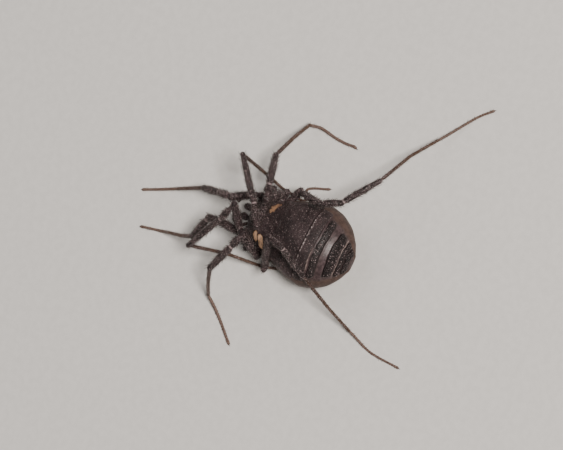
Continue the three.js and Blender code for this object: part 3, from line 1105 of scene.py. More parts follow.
@dataclass
class BodyShape:
    """Outline of head and abdomen in millimetres: place, half width, top and bottom of each station."""

    stations: list[tuple[float, float, float, float]] = field(default_factory=lambda: [
        (-0.6, 0.18, 0.72, 0.54), (-0.54, 0.31, 0.8, 0.47), (-0.4, 0.41, 0.88, 0.42),
        (-0.24, 0.49, 0.93, 0.41), (0.1, 0.63, 1.06, 0.46), (0.45, 0.765, 1.23, 0.38),
        (0.85, 0.89, 1.34, 0.31), (1.2, 0.94, 1.36, 0.28), (1.5, 0.86, 1.28, 0.3),
        (1.75, 0.69, 1.1, 0.36), (1.95, 0.44, 0.88, 0.44), (2.07, 0.2, 0.72, 0.54),
    ])
    front_cap: float = 0.02
    rear_cap: float = 0.03
    widest: float = 0.42
    roundness: float = 2.1
    narrow: float = 0.15

    def section(self, y: np.ndarray) -> tuple[np.ndarray, np.ndarray, np.ndarray]:
        """Reads the outline.

        Args:
            y: places along the back.

        Returns:
            Half width, top height and bottom height there.
        """
        table = np.array(self.stations)
        half, top, bottom = (curve(table[:, 0], table[:, k], y) for k in (1, 2, 3))
        first, last = table[0, 0], table[-1, 0]
        front = np.clip((first - y) / self.front_cap, 0, 1)
        rear = np.clip((y - last) / self.rear_cap, 0, 1)
        shrink = np.sqrt(np.maximum(1 - front**2 - rear**2, 0))
        middle = bottom + self.widest * (top - bottom)
        return half * shrink, middle + (top - middle) * shrink, middle + (bottom - middle) * shrink

    def point(self, y: np.ndarray, angle: np.ndarray, rise: np.ndarray) -> np.ndarray:
        """Finds points of the surface.

        Args:
            y: places along the back.
            angle: angles round the body, 0 at the middle of the back and positive to the left.
            rise: how far the point stands out of the plain outline, less where the body is narrow.

        Returns:
            Points in millimetres.
        """
        half, top, bottom = self.section(y)
        middle = bottom + self.widest * (top - bottom)
        sine, cosine = np.sin(angle), np.cos(angle)
        power = 2 / self.roundness
        height = np.where(cosine > 0, top - middle, middle - bottom)
        rise = rise * np.minimum(1.0, half / self.narrow)
        x = np.sign(sine) * np.abs(sine) ** power * (half + rise)
        z = middle + np.sign(cosine) * np.abs(cosine) ** power * (height + rise)
        return np.stack([x, y + 0 * x, z], axis=-1)

    def poles(self) -> tuple[np.ndarray, np.ndarray]:
        """Finds the foremost and the rearmost point of the body.

        Returns:
            Both points.
        """
        places = np.array([self.stations[0][0] - self.front_cap, self.stations[-1][0] + self.rear_cap])
        heights = self.section(places)[1]
        front, rear = (np.array([0.0, y, z]) for y, z in zip(places, heights))
        return front, rear


@dataclass
class Body:
    """Skin of head and abdomen in one, with its plates, folds and pale spots.

    Lengths are in millimetres. A fade is a pair of angles from the middle of the back, in degrees,
    between which a mark ends.
    """

    shape: BodyShape = field(default_factory=BodyShape)
    coarse_step: float = 0.0095
    fine_step: float = 0.0052
    fine_from: float = 0.98
    sides: int = 244
    plate_rise: float = 0.03
    plate_arch: float = 0.006
    edge: float = 0.016
    skew: float = 2.0
    ripples: tuple[tuple[float, int, int], ...] = ((0.006, 6, 5), (0.003, 17, 11))
    scutum: Plate = field(default_factory=lambda: Plate(-0.24, 1.09, 66))
    tergites: list[Plate] = field(default_factory=lambda: [
        Plate(1.106, 1.37, 60), Plate(1.42, 1.562, 50, 0.07), Plate(1.72, 1.866, 48, 0.06),
        Plate(1.906, 1.975, 54, 0.03), Plate(1.995, 2.07, 60, 0.03),
    ])
    furrows: tuple[float, ...] = (0.3, 0.6, 0.86)
    furrow_width: float = 0.018
    furrow_depth: float = 0.009
    furrow_fade: tuple[float, float] = (46, 62)
    groove_ahead: float = 0.004
    groove_width: float = 0.011
    groove_depth: float = 0.014
    neck: float = -0.255
    neck_width: float = 0.012
    neck_depth: float = 0.014
    bulge_rise: float = 0.034
    bulge_fade: tuple[float, float] = (40, 62)
    rim_behind: float = 0.026
    rim_width: float = 0.014
    rim_fade: tuple[float, float] = (46, 60)
    crease_width: float = 0.008
    crease_depth: float = 0.008
    crease_fade: tuple[float, float] = (44, 54)
    pale_fold: tuple[float, float] = (1.374, 1.408)
    pale_fold_fade: tuple[float, float] = (40, 58)
    # The wide soft fold, pale, with a painted highlight towards its rear edge.
    pale_skin: tuple[float, float] = (1.565, 1.712)
    pale_skin_fade: tuple[float, float] = (48, 62)
    # Painted highlight in cream along the rear edge of the first ring plate.
    crest_highlight: tuple[float, float] = (1.364, 1.376)
    crest_highlight_fade: tuple[float, float] = (22, 46)
    cream_line: tuple[float, float] = (1.884, 1.896)
    cream_fade: tuple[float, float] = (50, 60)
    line_rise: float = 0.006
    fold_rise: float = 0.005
    swell: float = 0.018
    swell_wave: float = 0.004
    flank: tuple[float, float, float, float] = (50, 62, 126, 140)
    ring_start: tuple[float, float] = (1.39, 1.42)
    spot_edge: float = 0.04
    spot_floor: float = 0.75
    spots: list[Spot] = field(default_factory=lambda: [
        Spot([(0.306, -0.291), (0.24, -0.187), (0.467, -0.107), (0.51, -0.244)], 0.7),
        Spot(
            [(0.338, -0.131), (0.277, -0.039), (0.376, 0.071), (0.563, 0.128), (0.584, -0.003),
             (0.455, -0.074)],
            1.0,
        ),
        Spot(
            [(-0.236, -0.104), (-0.248, -0.015), (-0.383, 0.059), (-0.51, 0.107), (-0.529, 0.086),
             (-0.476, -0.033), (-0.35, -0.113)],
            0.5,
        ),
    ])
    fine_grains: Growth = Growth(Form.GRAIN, "grain", spacing=0.038, length=0.0125, radius=0.015, seed=7)
    coarse_grains: Growth = Growth(Form.GRAIN, "coarse", spacing=0.044, length=0.018, radius=0.0175, seed=11)

    def places(self) -> np.ndarray:
        """Places of the rings along the back, closer at the rounded ends and over the rear rings.

        Returns:
            Places in millimetres, without the poles.
        """
        s = self.shape
        first, last = s.stations[0][0], s.stations[-1][0]
        turn = np.radians(np.linspace(80, 0, 10))
        front = first - s.front_cap * np.sin(turn)
        rear = last + s.rear_cap * np.sin(turn[::-1])
        coarse = np.arange(first, self.fine_from, self.coarse_step)
        fine = np.arange(self.fine_from, last, self.fine_step)
        return np.concatenate([front[:-1], coarse, fine, rear])

    def plates(self, wave: np.ndarray, turn: np.ndarray, arc: np.ndarray) -> tuple[np.ndarray, np.ndarray]:
        """Lays the hard plates.

        Args:
            wave: places along the back.
            turn: angles from the middle of the back, in degrees.
            arc: length of one degree round the body.

        Returns:
            Share of hard plate and its rise.
        """
        cover, rise = 0 * (wave + turn), 0 * (wave + turn)
        for plate in (self.scutum, *self.tergites):
            share = plate.cover(wave, turn, arc, self.edge)
            cover = np.maximum(cover, share)
            arch = 0.0 if plate is self.scutum else self.plate_arch * plate.arch(wave)
            rise = np.maximum(rise, share * (self.plate_rise + arch))
        return cover, rise

    def bulges(self, wave: np.ndarray, turn: np.ndarray) -> np.ndarray:
        """Swells the soft skin between the ring plates, most near the plate behind.

        Args:
            wave: places along the back.
            turn: angles from the middle of the back, in degrees.

        Returns:
            The rise.
        """
        rise = 0 * (wave + turn)
        for ahead, behind in zip(self.tergites, self.tergites[1:]):
            width = behind.start - ahead.end
            t = np.clip((wave - ahead.end) / width, 0, 1)
            bulge = np.clip((t - 0.3) / 0.6, 0, 1) ** 1.1 * fade(0.9, 1.0, t) * min(1.0, 7 * width)
            rise = np.maximum(rise, self.bulge_rise * bulge * fade(*self.bulge_fade, turn))
        return rise

    def grooves(self, wave: np.ndarray, turn: np.ndarray) -> np.ndarray:
        """Cuts a groove in front of each ring plate, which the finish darkens as painted shade.

        Args:
            wave: places along the back.
            turn: angles from the middle of the back, in degrees.

        Returns:
            Share of groove, for its depth and its painted shade.
        """
        groove = 0 * (wave + turn)
        for plate in self.tergites:
            line = ridge(-self.groove_ahead, self.groove_width, wave - plate.start)
            groove = np.maximum(groove, line * fade(plate.reach - 5, plate.reach + 1, turn))
        return groove

    def pale_folds(self, wave: np.ndarray, degrees: np.ndarray) -> tuple[np.ndarray, np.ndarray]:
        """Paints the wide soft fold pale, with a painted highlight that grows towards its rear edge and is
        strongest near the middle of the back, and the narrow fold ahead of it pale.

        Args:
            wave: places along the back.
            degrees: angles from the middle of the back.

        Returns:
            Share of pale skin, part of it painted highlight, and of the painted shade in the crease at the
            wide fold's front edge.
        """
        turn = np.abs(degrees)
        start, end = self.pale_skin
        t = np.clip((wave - start) / (end - start), 0, 1)
        lit = smooth(-34, -4, degrees) * fade(24, 48, degrees)
        # Painted highlight: paler towards the rear edge of the wide fold and near the middle of the back.
        painted_highlight = 0.35 + 0.65 * smooth(0.1, 0.95, t) * (0.25 + 0.75 * lit)
        pale = band(start, end, 0.02, wave) * fade(*self.pale_skin_fade, turn) * painted_highlight
        narrow = 0.85 * band(*self.pale_fold, 0.012, wave) * fade(*self.pale_fold_fade, turn)
        # The crease is cut in and darkened with painted shade.
        crease = 0.6 * ridge(-self.groove_ahead, self.crease_width, wave - start)
        crease = crease * fade(*self.crease_fade, turn)
        return np.maximum(pale, narrow), crease

    def lines(self, wave: np.ndarray, degrees: np.ndarray) -> np.ndarray:
        """Draws the thin cream line before the last plates, and a painted highlight in the same cream along
        the rear edge of the first ring plate, left of the middle of the back.

        Args:
            wave: places along the back.
            degrees: angles from the middle of the back.

        Returns:
            Share of cream, painted highlight included.
        """
        turn = np.abs(degrees)
        cream = band(*self.cream_line, 0.01, wave + 0.02 * (turn / 50) ** 2) * fade(*self.cream_fade, turn)
        # Painted highlight along the rear edge of the first ring plate.
        painted_crest = band(*self.crest_highlight, 0.007, wave) * smooth(-4, 12, degrees) * fade(*self.crest_highlight_fade, turn)
        return np.maximum(cream, painted_crest)

    def pearls(self, wave: np.ndarray, degrees: np.ndarray) -> np.ndarray:
        """Marks the row of pearly grains behind the front edge of the first ring plate, where coarse grains
        grow and the finish paints highlights, weaker towards the left.

        Args:
            wave: places along the back.
            degrees: angles from the middle of the back.

        Returns:
            Share of pearls.
        """
        line = ridge(self.rim_behind, self.rim_width, wave - self.tergites[0].start)
        line = line * fade(*self.rim_fade, np.abs(degrees))
        return line * (1 - 0.6 * smooth(2, 26, degrees))

    def relief(self, y: np.ndarray, angle: np.ndarray) -> tuple[np.ndarray, dict[str, np.ndarray]]:
        """Works out how far each place stands out and what covers it.

        Args:
            y: places along the back.
            angle: angles round the body.

        Returns:
            The rise in millimetres, and the shares of what covers the place.
        """
        degrees = np.degrees(angle)
        turn = np.abs(degrees)
        wave = y
        for height, around, along in self.ripples:
            wave = wave + height * np.sin(angle * around + y * along)
        arc = np.radians(self.shape.section(y)[0])
        cover, rise = self.plates(wave, turn + self.skew * np.sign(angle), arc)
        rise = np.maximum(rise, self.bulges(wave, turn))
        groove, line = self.grooves(wave, turn), self.lines(wave, degrees)
        pale, crease = self.pale_folds(wave, degrees)
        head = fade(-0.28, -0.25, y)
        cover = np.maximum(cover, head)
        furrow = sum(ridge(place, self.furrow_width, wave) for place in self.furrows)
        furrow = furrow * fade(*self.furrow_fade, turn)
        neck = ridge(self.neck, self.neck_width, y)
        top, top_end, foot, foot_end = self.flank
        flank = (1 - cover) * smooth(top, top_end, turn) * fade(foot, foot_end, turn) * smooth(0.1, 0.4, y)
        fold = np.sin(y * 46 + np.sin(angle * 5)) * smooth(100, 120, turn) * smooth(-0.1, 0.2, y)
        swell = self.swell * flank * smooth(60, 80, turn)
        swell = swell + self.swell_wave * np.sin(y * 19 + turn * 0.12) * flank
        rise = rise - self.furrow_depth * furrow - self.neck_depth * neck
        rise = rise - self.groove_depth * groove - self.crease_depth * crease
        rise = rise + self.fold_rise * fold + swell + self.line_rise * line
        return rise, {
            "plate": cover,
            # Cream line and painted crest highlight.
            "cream": line,
            "flank": flank,
            # Painted shade of grooves and crease.
            "groove": np.clip(1.2 * np.maximum(groove, crease), 0, 1),
            # Pale folds, with the wide fold's painted highlight.
            "pale": pale * (1 - cover),
            # Row of pearly grains, which carries painted highlights.
            "rim": np.clip(1.3 * self.pearls(wave, degrees), 0, 1) * cover,
            "deep": smooth(*self.ring_start, wave) * cover + head * 0.5,
        }

    def grain_shares(self, y: np.ndarray, turn: np.ndarray, values: dict[str, np.ndarray]) -> None:
        """Stores where grains grow: fine ones on all plates, coarse ones on the rear rings.

        Args:
            y: places along the back.
            turn: angles from the middle of the back, in degrees.
            values: stored values so far, which get "grain" and "coarse".
        """
        bare = 0.5 * (values["gold"] > 0.1)
        values["grain"] = values["plate"] * (1 - values["groove"]) * (1 - bare)
        values["grain"] *= smooth(-0.62, -0.5, y) * fade(108, 116, turn)
        ringed = np.maximum(smooth(*self.ring_start, y), 0.8 * (values["rim"] > 0.5))
        values["coarse"] = values["grain"] * ringed

    def build(self) -> bpy.types.Object:
        """Builds the skin and the grains of its plates.

        Returns:
            The finished skin.
        """
        y = self.places()[:, None]
        angle = np.linspace(-np.pi, np.pi, self.sides, endpoint=False)[None]
        rise, values = self.relief(y, angle)
        points = self.shape.point(y, angle, rise)
        values["gold"] = np.zeros_like(rise)
        for spot in self.spots:
            cover = spot.cover(points[..., 0], points[..., 1], self.spot_edge)
            values["gold"] = np.maximum(values["gold"], cover * (points[..., 2] > self.spot_floor))
        self.grain_shares(y, np.abs(np.degrees(angle)), values)
        front, rear = self.shape.poles()
        across = angle / 2 / np.pi + 0.5
        along = (y - front[1]) / (rear[1] - front[1])
        values["place"] = np.stack([across + 0 * y, along + 0 * angle, 0 * points[..., 0]], -1)
        values["along"] = np.zeros_like(points) + np.array([0.0, 1.0, 0.0])
        piece = finished("body_skin", [Shell(points, front, rear, values)], PlateAndSkin().material())
        # On the grains a dot above 1 spreads the painted glints over whole grains here and there.
        grainy = PlateAndSkin(name="plate_grain", dot=1.2, painted_glintle=0.72, specular=0.45, roughness=0.26)
        glint = grainy.material()
        attach(self.fine_grains.over(piece, "plate_grains", glint), "abdomen")
        attach(self.coarse_grains.over(piece, "ring_grains", glint), "abdomen")
        attach(piece, "abdomen", "prosoma", "abdomen")
        return piece


@dataclass
class LegRow:
    """Lengths in millimetres of one pair of legs, their hips and their thickness."""

    femur: float
    patella: float
    tibia: float
    metatarsus: tuple[float, float]
    tarsus: float
    slender: float
    root: tuple[float, float, float]
    hip_end: tuple[float, float, float]


LEG_ROWS: dict[int, LegRow] = {
    1: LegRow(0.8, 0.36, 0.68, (0.48, 0.46), 0.88, 1.0, (0.26, -0.48, 0.46), (0.5, -0.6, 0.58)),
    2: LegRow(1.5, 0.56, 1.2, (0.9, 0.95), 1.3, 0.9, (0.3, -0.35, 0.47), (0.74, -0.37, 0.64)),
    3: LegRow(0.88, 0.42, 0.78, (0.62, 0.61), 1.15, 1.02, (0.3, -0.19, 0.45), (0.8, -0.04, 0.66)),
    4: LegRow(1.36, 0.53, 0.97, (0.95, 0.78), 1.38, 0.87, (0.3, -0.04, 0.41), (0.95, 0.27, 0.735)),
}

# Bearing and pitch of femur, patella, tibia and both parts of the metatarsus, then the bearings of the
# tarsus with their shares of its length.
POSES: dict[str, tuple[list[tuple[float, float]], list[tuple[float, float]]]] = {
    "r1": ([(-36, 39), (2, -27), (-11, -31), (-23, -30), (-22, -30)], [(-25, 1)]),
    "r2": (
        [(-117, 48), (67, 15), (48, -2), (-142, -66), (-145, -66)],
        [(183, 0.37), (71, 0.19), (154, 0.44)],
    ),
    "r3": (
        [(-76, 68), (68, -32), (70, -15), (96, -45), (98, -45)],
        [(170, 0.15), (188, 0.4), (181, 0.25), (173, 0.12), (192, 0.08)],
    ),
    "r4": ([(180, 45), (149, -24), (121, -13), (102, -38), (115, -37)], [(123, 0.68), (135, 0.32)]),
    "l1": ([(12, 56), (-13, -20), (-70, -21), (-11, -36), (-11, -35)], [(-13, 1)]),
    "l2": ([(74, 52), (-69, -20), (-55, -21), (163, -36), (175, -34)], [(162, 1)]),
    "l3": ([(53, 56), (-79, -8), (-65, -8), (-74, -59), (-76, -59)], [(-138, 1)]),
    "l4": ([(106, 53), (-167, 19), (-136, -51), (-147, -37), (-149, -43)], [(-159, 0.4), (-177, 0.6)]),
}


def between_knots(u: float, near: float, far: float, first: np.ndarray, second: np.ndarray) -> np.ndarray:
    """Blends two points by where a value lies between two knots."""
    return ((far - u) * first + (u - near) * second) / (far - near)


def rounded(corners: np.ndarray, count: int) -> np.ndarray:
    """Runs a soft curve through corners.

    Args:
        corners: corners of the route.
        count: number of points.

    Returns:
        Points of the curve.
    """
    ghost = np.vstack([2 * corners[0] - corners[1], corners, 2 * corners[-1] - corners[-2]])
    knots = np.concatenate([[0], np.cumsum(np.linalg.norm(np.diff(ghost, axis=0), axis=1) ** 0.5)])
    last = len(corners) - 1
    points = []
    for t in np.linspace(0, last, count):
        k = min(int(t), last - 1)
        t0, t1, t2, t3 = knots[k:k + 4]
        p0, p1, p2, p3 = ghost[k:k + 4]
        u = t1 + (t - k) * (t2 - t1)
        a0 = between_knots(u, t0, t1, p0, p1)
        a1 = between_knots(u, t1, t2, p1, p2)
        a2 = between_knots(u, t2, t3, p2, p3)
        b0 = between_knots(u, t0, t2, a0, a1)
        b1 = between_knots(u, t1, t3, a1, a2)
        points.append(between_knots(u, t1, t2, b0, b1))
    return np.array(points)


class Length(Enum):
    """Lengths of a leg that have a plain tapering form.

    Each has its radii at the near end, the thickest place and the far end, the share of its length at
    which it is thickest, and how far it bows upwards as a share of its length.
    """

    FEMUR = ((0.05, 0.09, 0.085), 0.72, 0.02)
    PATELLA = ((0.058, 0.087, 0.074), 0.6, 0.035)
    TIBIA = ((0.061, 0.081, 0.061), 0.5, 0.012)

    def stops(self, slender: float) -> Stops:
        """Gives the profile.

        Args:
            slender: thickness against the table.

        Returns:
            Pairs of share of the length and radius.
        """
        near, thick, far = (radius * slender for radius in self.value[0])
        peak = self.value[1]
        stops = [(0.0, near), (0.06, near + (thick - near) * 0.55)]
        if self is Length.FEMUR:
            stops += [(0.1, near * 1.05), (0.16, near + (thick - near) * 0.5)]
        stops += [(peak * 0.5, near + (thick - near) * 0.8), (peak, thick)]
        return stops + [((1 + peak) / 2, (thick * 1.1 + far) / 2.1), (1.0, far)]

    @property
    def bow(self) -> float:
        """How far it bows upwards, as a share of its length."""
        return self.value[2]

    @property
    def neck(self) -> float:
        """Radius of the soft neck against the near end of the hard part."""
        return 1.04 if self is Length.TIBIA else 0.95

    @property
    def paleness(self) -> float:
        """How pale the soft neck is: only the one before the tibia is nearly white."""
        return 1.0 if self is Length.TIBIA else 0.1


BRISTLES = Growth(
    Form.BRISTLE, "hair", spacing=0.041, length=0.072, radius=0.0066, lean=40, bend=0.25, seed=3
)
FINE_BRISTLES = Growth(
    Form.BRISTLE, "hair", spacing=0.036, length=0.045, radius=0.004, lean=42, bend=0.25, seed=5
)
GRAINS = Growth(Form.GRAIN, "grain", spacing=0.034, length=0.0105, radius=0.0118, seed=9)


@dataclass
class Leg:
    """One leg from its hip to its claw, in one skin, with sizes in millimetres."""

    side: Side
    pair: int
    sides: int = 28
    shin_sides: int = 22
    foot_sides: int = 18
    step: float = 0.012
    foot_step: float = 0.007
    gap: float = 0.03
    hip_profile: Stops = field(default_factory=lambda: [
        (0, 0.08), (0.2, 0.115), (0.5, 0.11), (0.62, 0.094), (0.67, 0.076), (0.73, 0.082),
        (0.82, 0.088), (0.95, 0.082), (1.06, 0.062), (1.13, 0.03), (1.15, 0.008),
    ])
    hip_joint: tuple[float, float] = (0.645, 0.69)
    hip_rings: int = 60
    trochanter: float = 0.088
    metatarsus: tuple[float, float, float, float] = (0.038, 0.047, 0.041, 0.036)
    false_joints: int = 3
    tarsus: tuple[float, float] = (0.036, 0.031)
    landing: float = 0.55
    landing_pitch: float = -20.0
    sole: float = 0.008
    joint_length: float = 0.062
    joint_pinch: float = 0.16
    claw_length: float = 0.042
    claw_radius: float = 0.0075
    overlap: float = 0.022
    bluntness: float = 0.6
    knuckle: float = 1.08
    collar: float = 0.07
    lip: float = 0.05
    strip: float = 0.14
    strip_step: float = 0.16

    @property
    def name(self) -> str:
        """Name of the leg, such as r1."""
        return f"{self.side.letter}{self.pair}"

    def clear_start(self, before: np.ndarray, before_radius: float, way: np.ndarray, radius: float) -> float:
        """Finds where the next length begins, clear of the one before it.

        Args:
            before: direction of the length before.
            before_radius: radius of its rounded end.
            way: direction of the next length.
            radius: radius of the next length's near end.

        Returns:
            Distance from the centre of the rounded end.
        """
        straight = before_radius + self.gap
        cosine = float(before @ way)
        if cosine >= 0:
            return straight
        sine = math.sqrt(1 - cosine * cosine)
        return max(straight, (before_radius + self.gap - radius * cosine) / sine)

    def domed(
        self, place: np.ndarray, reach: np.ndarray, end: tuple[float, float], turn: np.ndarray
    ) -> tuple[np.ndarray, np.ndarray]:
        """Adds the rings of a rounded end.

        Args:
            place: places of the rings so far.
            reach: their radii.
            end: where the rounded end begins, and its radius.
            turn: angles of its rings.

        Returns:
            Places and radii of all rings.
        """
        total, radius = end
        place = np.concatenate([place, total + radius * np.sin(turn)])
        return place, np.concatenate([reach, radius * np.cos(turn) ** self.bluntness])

    def hip(self, row: LegRow) -> Shell:
        """Builds coxa and trochanter.

        Args:
            row: sizes of this pair.

        Returns:
            The shell.
        """
        root, end = self.side.place(row.root), self.side.place(row.hip_end)
        share = np.linspace(0, self.hip_profile[-1][0], self.hip_rings)
        pale = 0.3 * band(*self.hip_joint, 0.02, share)
        route = root + (end - root) * share[:, None]
        hair, grain = 0.7 - pale * 2, 0.9 * (pale < 0.05)
        values = ring_values(LEG_VALUES, self.hip_rings, pale=pale, hair=hair, grain=grain)
        return tube(route, along_stops(self.hip_profile, share), self.sides, values, (0.02, 0.004))

    def length_shell(
        self,
        kind: Length,
        begin: np.ndarray,
        dome: np.ndarray,
        start: float,
        before_radius: float,
        slender: float,
    ) -> Shell:
        """Builds femur, patella or tibia.

        Args:
            kind: which of them.
            begin: centre of the rounded end before it.
            dome: centre of its own rounded end.
            start: where its hard part begins, measured from begin.
            before_radius: radius of the rounded end before it.
            slender: thickness against the table.

        Returns:
            The shell, with the pale neck that joins it to the length before.
        """
        stops = kind.stops(slender)
        way = dome - begin
        total = float(np.linalg.norm(way))
        way /= total
        near, end_radius = stops[0][1], stops[-1][1]
        start = start - self.overlap
        place = np.arange(before_radius * 0.4, total, self.step)
        place = np.sort(np.concatenate([place, np.arange(start - 0.02, start + 0.03, self.step / 4)]))
        reach = along_stops(stops, np.clip((place - start) / (total - start), 0, 1))
        neck = fade(start - 0.003, start + 0.003, place)
        reach = reach + (near * kind.neck - reach) * neck
        reach = reach * (1 + self.collar * band(start + 0.002, start + 0.014, 0.008, place))
        reach = reach * (1 + self.lip * band(total - 0.03, total, 0.02, place))
        turn = np.radians(np.linspace(6, 84, 12))
        place, reach = self.domed(place, reach, (total, end_radius), turn)
        up = unit(UPWARDS - (UPWARDS @ way) * way)
        lift = kind.bow * total * np.sin(np.pi * np.clip(place / total, 0, 1)) ** 2
        route = begin + way * place[:, None] + up * lift[:, None]
        neck = np.concatenate([neck, np.zeros(len(turn))])
        hair = (1 - neck) * (place < total + end_radius * 0.5)
        pale, grain = neck * kind.paleness, hair * (neck < 0.1)
        values = ring_values(LEG_VALUES, len(place), pale=pale, hair=hair, grain=grain)
        return tube(route, reach, self.sides, values, (0.0, end_radius * 0.01))

    def metatarsus_shell(
        self, begin: np.ndarray, corner: np.ndarray, tip: np.ndarray, start: float, slender: float
    ) -> Shell:
        """Builds the metatarsus with its false joints, at the first of which it bends.

        Args:
            begin: centre of the tibia's rounded end.
            corner: place of the bend.
            tip: centre of its own rounded end.
            start: where its hard part begins, measured from begin.
            slender: thickness against the table.

        Returns:
            The shell.
        """
        root, knob, bend, end = (radius * slender for radius in self.metatarsus)
        start = start - self.overlap
        first, second = float(np.linalg.norm(corner - begin)), float(np.linalg.norm(tip - corner))
        total = first + second
        place = np.arange(0.02, total, self.step)
        route = np.where(
            (place < first)[:, None],
            begin + (corner - begin) * (place / first)[:, None],
            corner + (tip - corner) * ((place - first) / second)[:, None],
        )
        for _ in range(12):
            route[1:-1] = (route[:-2] + 2 * route[1:-1] + route[2:]) / 4
        stops = [(0, root), (start, root), (start + 0.1 * first, knob), (0.5 * first, (knob + bend) / 2)]
        reach = along_stops(stops + [(first, bend), (total, end)], place)
        marks = np.linspace(first, total, self.false_joints + 1)[:-1]
        rings = sum(ridge(mark, 0.01, place) for mark in marks)
        reach = reach * (1 - 0.12 * rings)
        neck = fade(start - 0.004, start + 0.006, place)
        turn = np.radians(np.linspace(10, 80, 6))
        place, reach = self.domed(place, reach, (total, end), turn)
        route = np.vstack([route, tip + unit(tip - corner) * (end * np.sin(turn))[:, None]])
        pale = np.concatenate([np.maximum(neck * 0.5, rings * 0.3), np.zeros(len(turn))])
        foot = 0.25 + 0.3 * smooth(0.1, 0.8, place / total)
        hair, grain = 0.7 * (pale < 0.2), 0.8 * (pale < 0.05)
        values = ring_values(LEG_VALUES, len(place), pale=pale, foot=foot, hair=hair, grain=grain)
        return tube(route, reach, self.shin_sides, values, (0.0, 0.001))

    def tarsus_shell(
        self, begin: np.ndarray, before: np.ndarray, row: LegRow, bends: list[tuple[float, float]]
    ) -> tuple[Shell, np.ndarray, np.ndarray]:
        """Builds the ringed foot, which comes down in a curve and then lies along the floor.

        Args:
            begin: centre of the metatarsus's rounded end.
            before: direction of the metatarsus.
            row: sizes of this pair.
            bends: bearings with their shares of the length.

        Returns:
            The shell, its tip and its last direction.
        """
        first = heading(bends[0][0], self.landing_pitch)
        root, end = (radius * row.slender for radius in self.tarsus)
        start = begin + first * self.clear_start(before, self.metatarsus[3] * row.slender, first, root)
        corners = [np.array([start[0], start[1], 0.0])]
        for bearing, share in bends:
            corners.append(corners[-1] + heading(bearing, 0) * share * row.tarsus)
        route = rounded(np.array(corners), 240)
        t = np.linspace(0, 1, len(route))
        taper = root + (end - root) * t
        fall = np.maximum(0, 1 - t / self.landing)
        route[:, 2] = taper - self.sole + (start[2] - (root - self.sole)) * fall * fall
        inner = begin + (route[0] - begin) * np.linspace(0.2, 0.95, 8)[:, None]
        route = np.vstack([inner, route])
        travelled = np.concatenate([[0], np.cumsum(np.linalg.norm(np.diff(route, axis=0), axis=1))])
        even = np.arange(0, travelled[-1], self.foot_step)
        route = np.stack([np.interp(even, travelled, route[:, k]) for k in range(3)], axis=1)
        taper = np.interp(even, travelled, np.concatenate([np.full(8, root * 0.85), taper]))
        joint = 0.5 + 0.5 * np.cos(2 * np.pi * even / self.joint_length)
        pinch = joint**6
        last = even[-1]
        swollen = 1 + 0.12 * band(last - 0.11, last - 0.02, 0.04, even)
        reach = taper * (1.03 - self.joint_pinch * pinch) * swollen
        reach = reach * np.sqrt(1 - np.clip((even - last + 1.2 * end) / (1.25 * end), 0, 1) ** 2)
        values = ring_values(LEG_VALUES, len(even), pale=0.4 * pinch, foot=1.0, hair=0.6 * (pinch < 0.5))
        shell = tube(route, reach, self.foot_sides, values, (0.0, end * 0.05))
        shell.rings[..., 2] = np.maximum(shell.rings[..., 2], 0.0)
        return shell, route[-1], unit(route[-1] - route[-3])

    def shells(self) -> tuple[list[Shell], np.ndarray, np.ndarray]:
        """Builds all lengths of the leg, each on its own strip of the unwrap.

        Returns:
            The shells, the foot's tip and its last direction.
        """
        row = LEG_ROWS[self.pair]
        angles, bends = POSES[self.name]
        ways = [heading(*angle) for angle in angles]
        shells = [self.hip(row)]
        joint = dome = self.side.place(row.hip_end)
        before, radius = unit(joint - self.side.place(row.root)), self.trochanter
        for kind, way, length in zip(Length, ways, (row.femur, row.patella, row.tibia)):
            stops = kind.stops(row.slender)
            joint = joint + way * length
            next_dome = joint - way * stops[-1][1]
            direction = unit(next_dome - dome)
            start = self.clear_start(before, radius, direction, stops[0][1])
            shells.append(self.length_shell(kind, dome, next_dome, start, radius, row.slender))
            dome, before, radius = next_dome, direction, stops[-1][1] * self.knuckle
        corner = joint + ways[3] * row.metatarsus[0]
        tip = corner + ways[4] * (row.metatarsus[1] - self.metatarsus[3] * row.slender)
        start = self.clear_start(before, radius, unit(corner - dome), self.metatarsus[0] * row.slender)
        shells.append(self.metatarsus_shell(dome, corner, tip, start, row.slender))
        foot, end, way = self.tarsus_shell(tip, ways[4], row, bends)
        shells.append(foot)
        lay_out(shells, self.strip, self.strip_step)
        return shells, end, way

    def build(
        self, skin: bpy.types.Material, glint: bpy.types.Material, horn: bpy.types.Material
    ) -> bpy.types.Object:
        """Builds the skin, grains, bristles and claw of the leg.

        Args:
            skin: finish of the skin.
            glint: finish of the grains.
            horn: finish of bristles and claw.

        Returns:
            The skin.
        """
        shells, end, way = self.shells()
        piece = finished(f"leg_{self.name}_skin", shells, skin)
        lengths = ("hip", "femur", "patella", "tibia", "metatarsus", "tarsus")
        attach(BRISTLES.over(piece, f"bristles_{self.name}", horn), "foot")
        attach(GRAINS.over(piece, f"grains_{self.name}", glint), "cuticle")
        attach(piece, "foot", *(f"leg_{self.name}_{length}" for length in lengths))
        self.claw(end, way, horn)
        return piece

    def claw(self, tip: np.ndarray, way: np.ndarray, horn: bpy.types.Material) -> None:
        """Builds the single hooked claw.

        Args:
            tip: end of the foot.
            way: direction of the foot there.
            horn: finish of the claw.
        """
        t = np.linspace(0, 1, 14)
        level = unit(np.array([way[0], way[1], 0.0]))
        route = tip + level * (self.claw_length * t - 0.006)[:, None]
        route[:, 2] = tip[2] + 0.008 * np.sin(np.pi * t) - (tip[2] - 0.0035) * t**2
        reach = self.claw_radius * (1 - t) ** 0.7 + 0.0015
        attach(finished(f"claw_{self.name}", [tube(route, reach, 10, None, (0.002, 0.002))], horn), "foot")


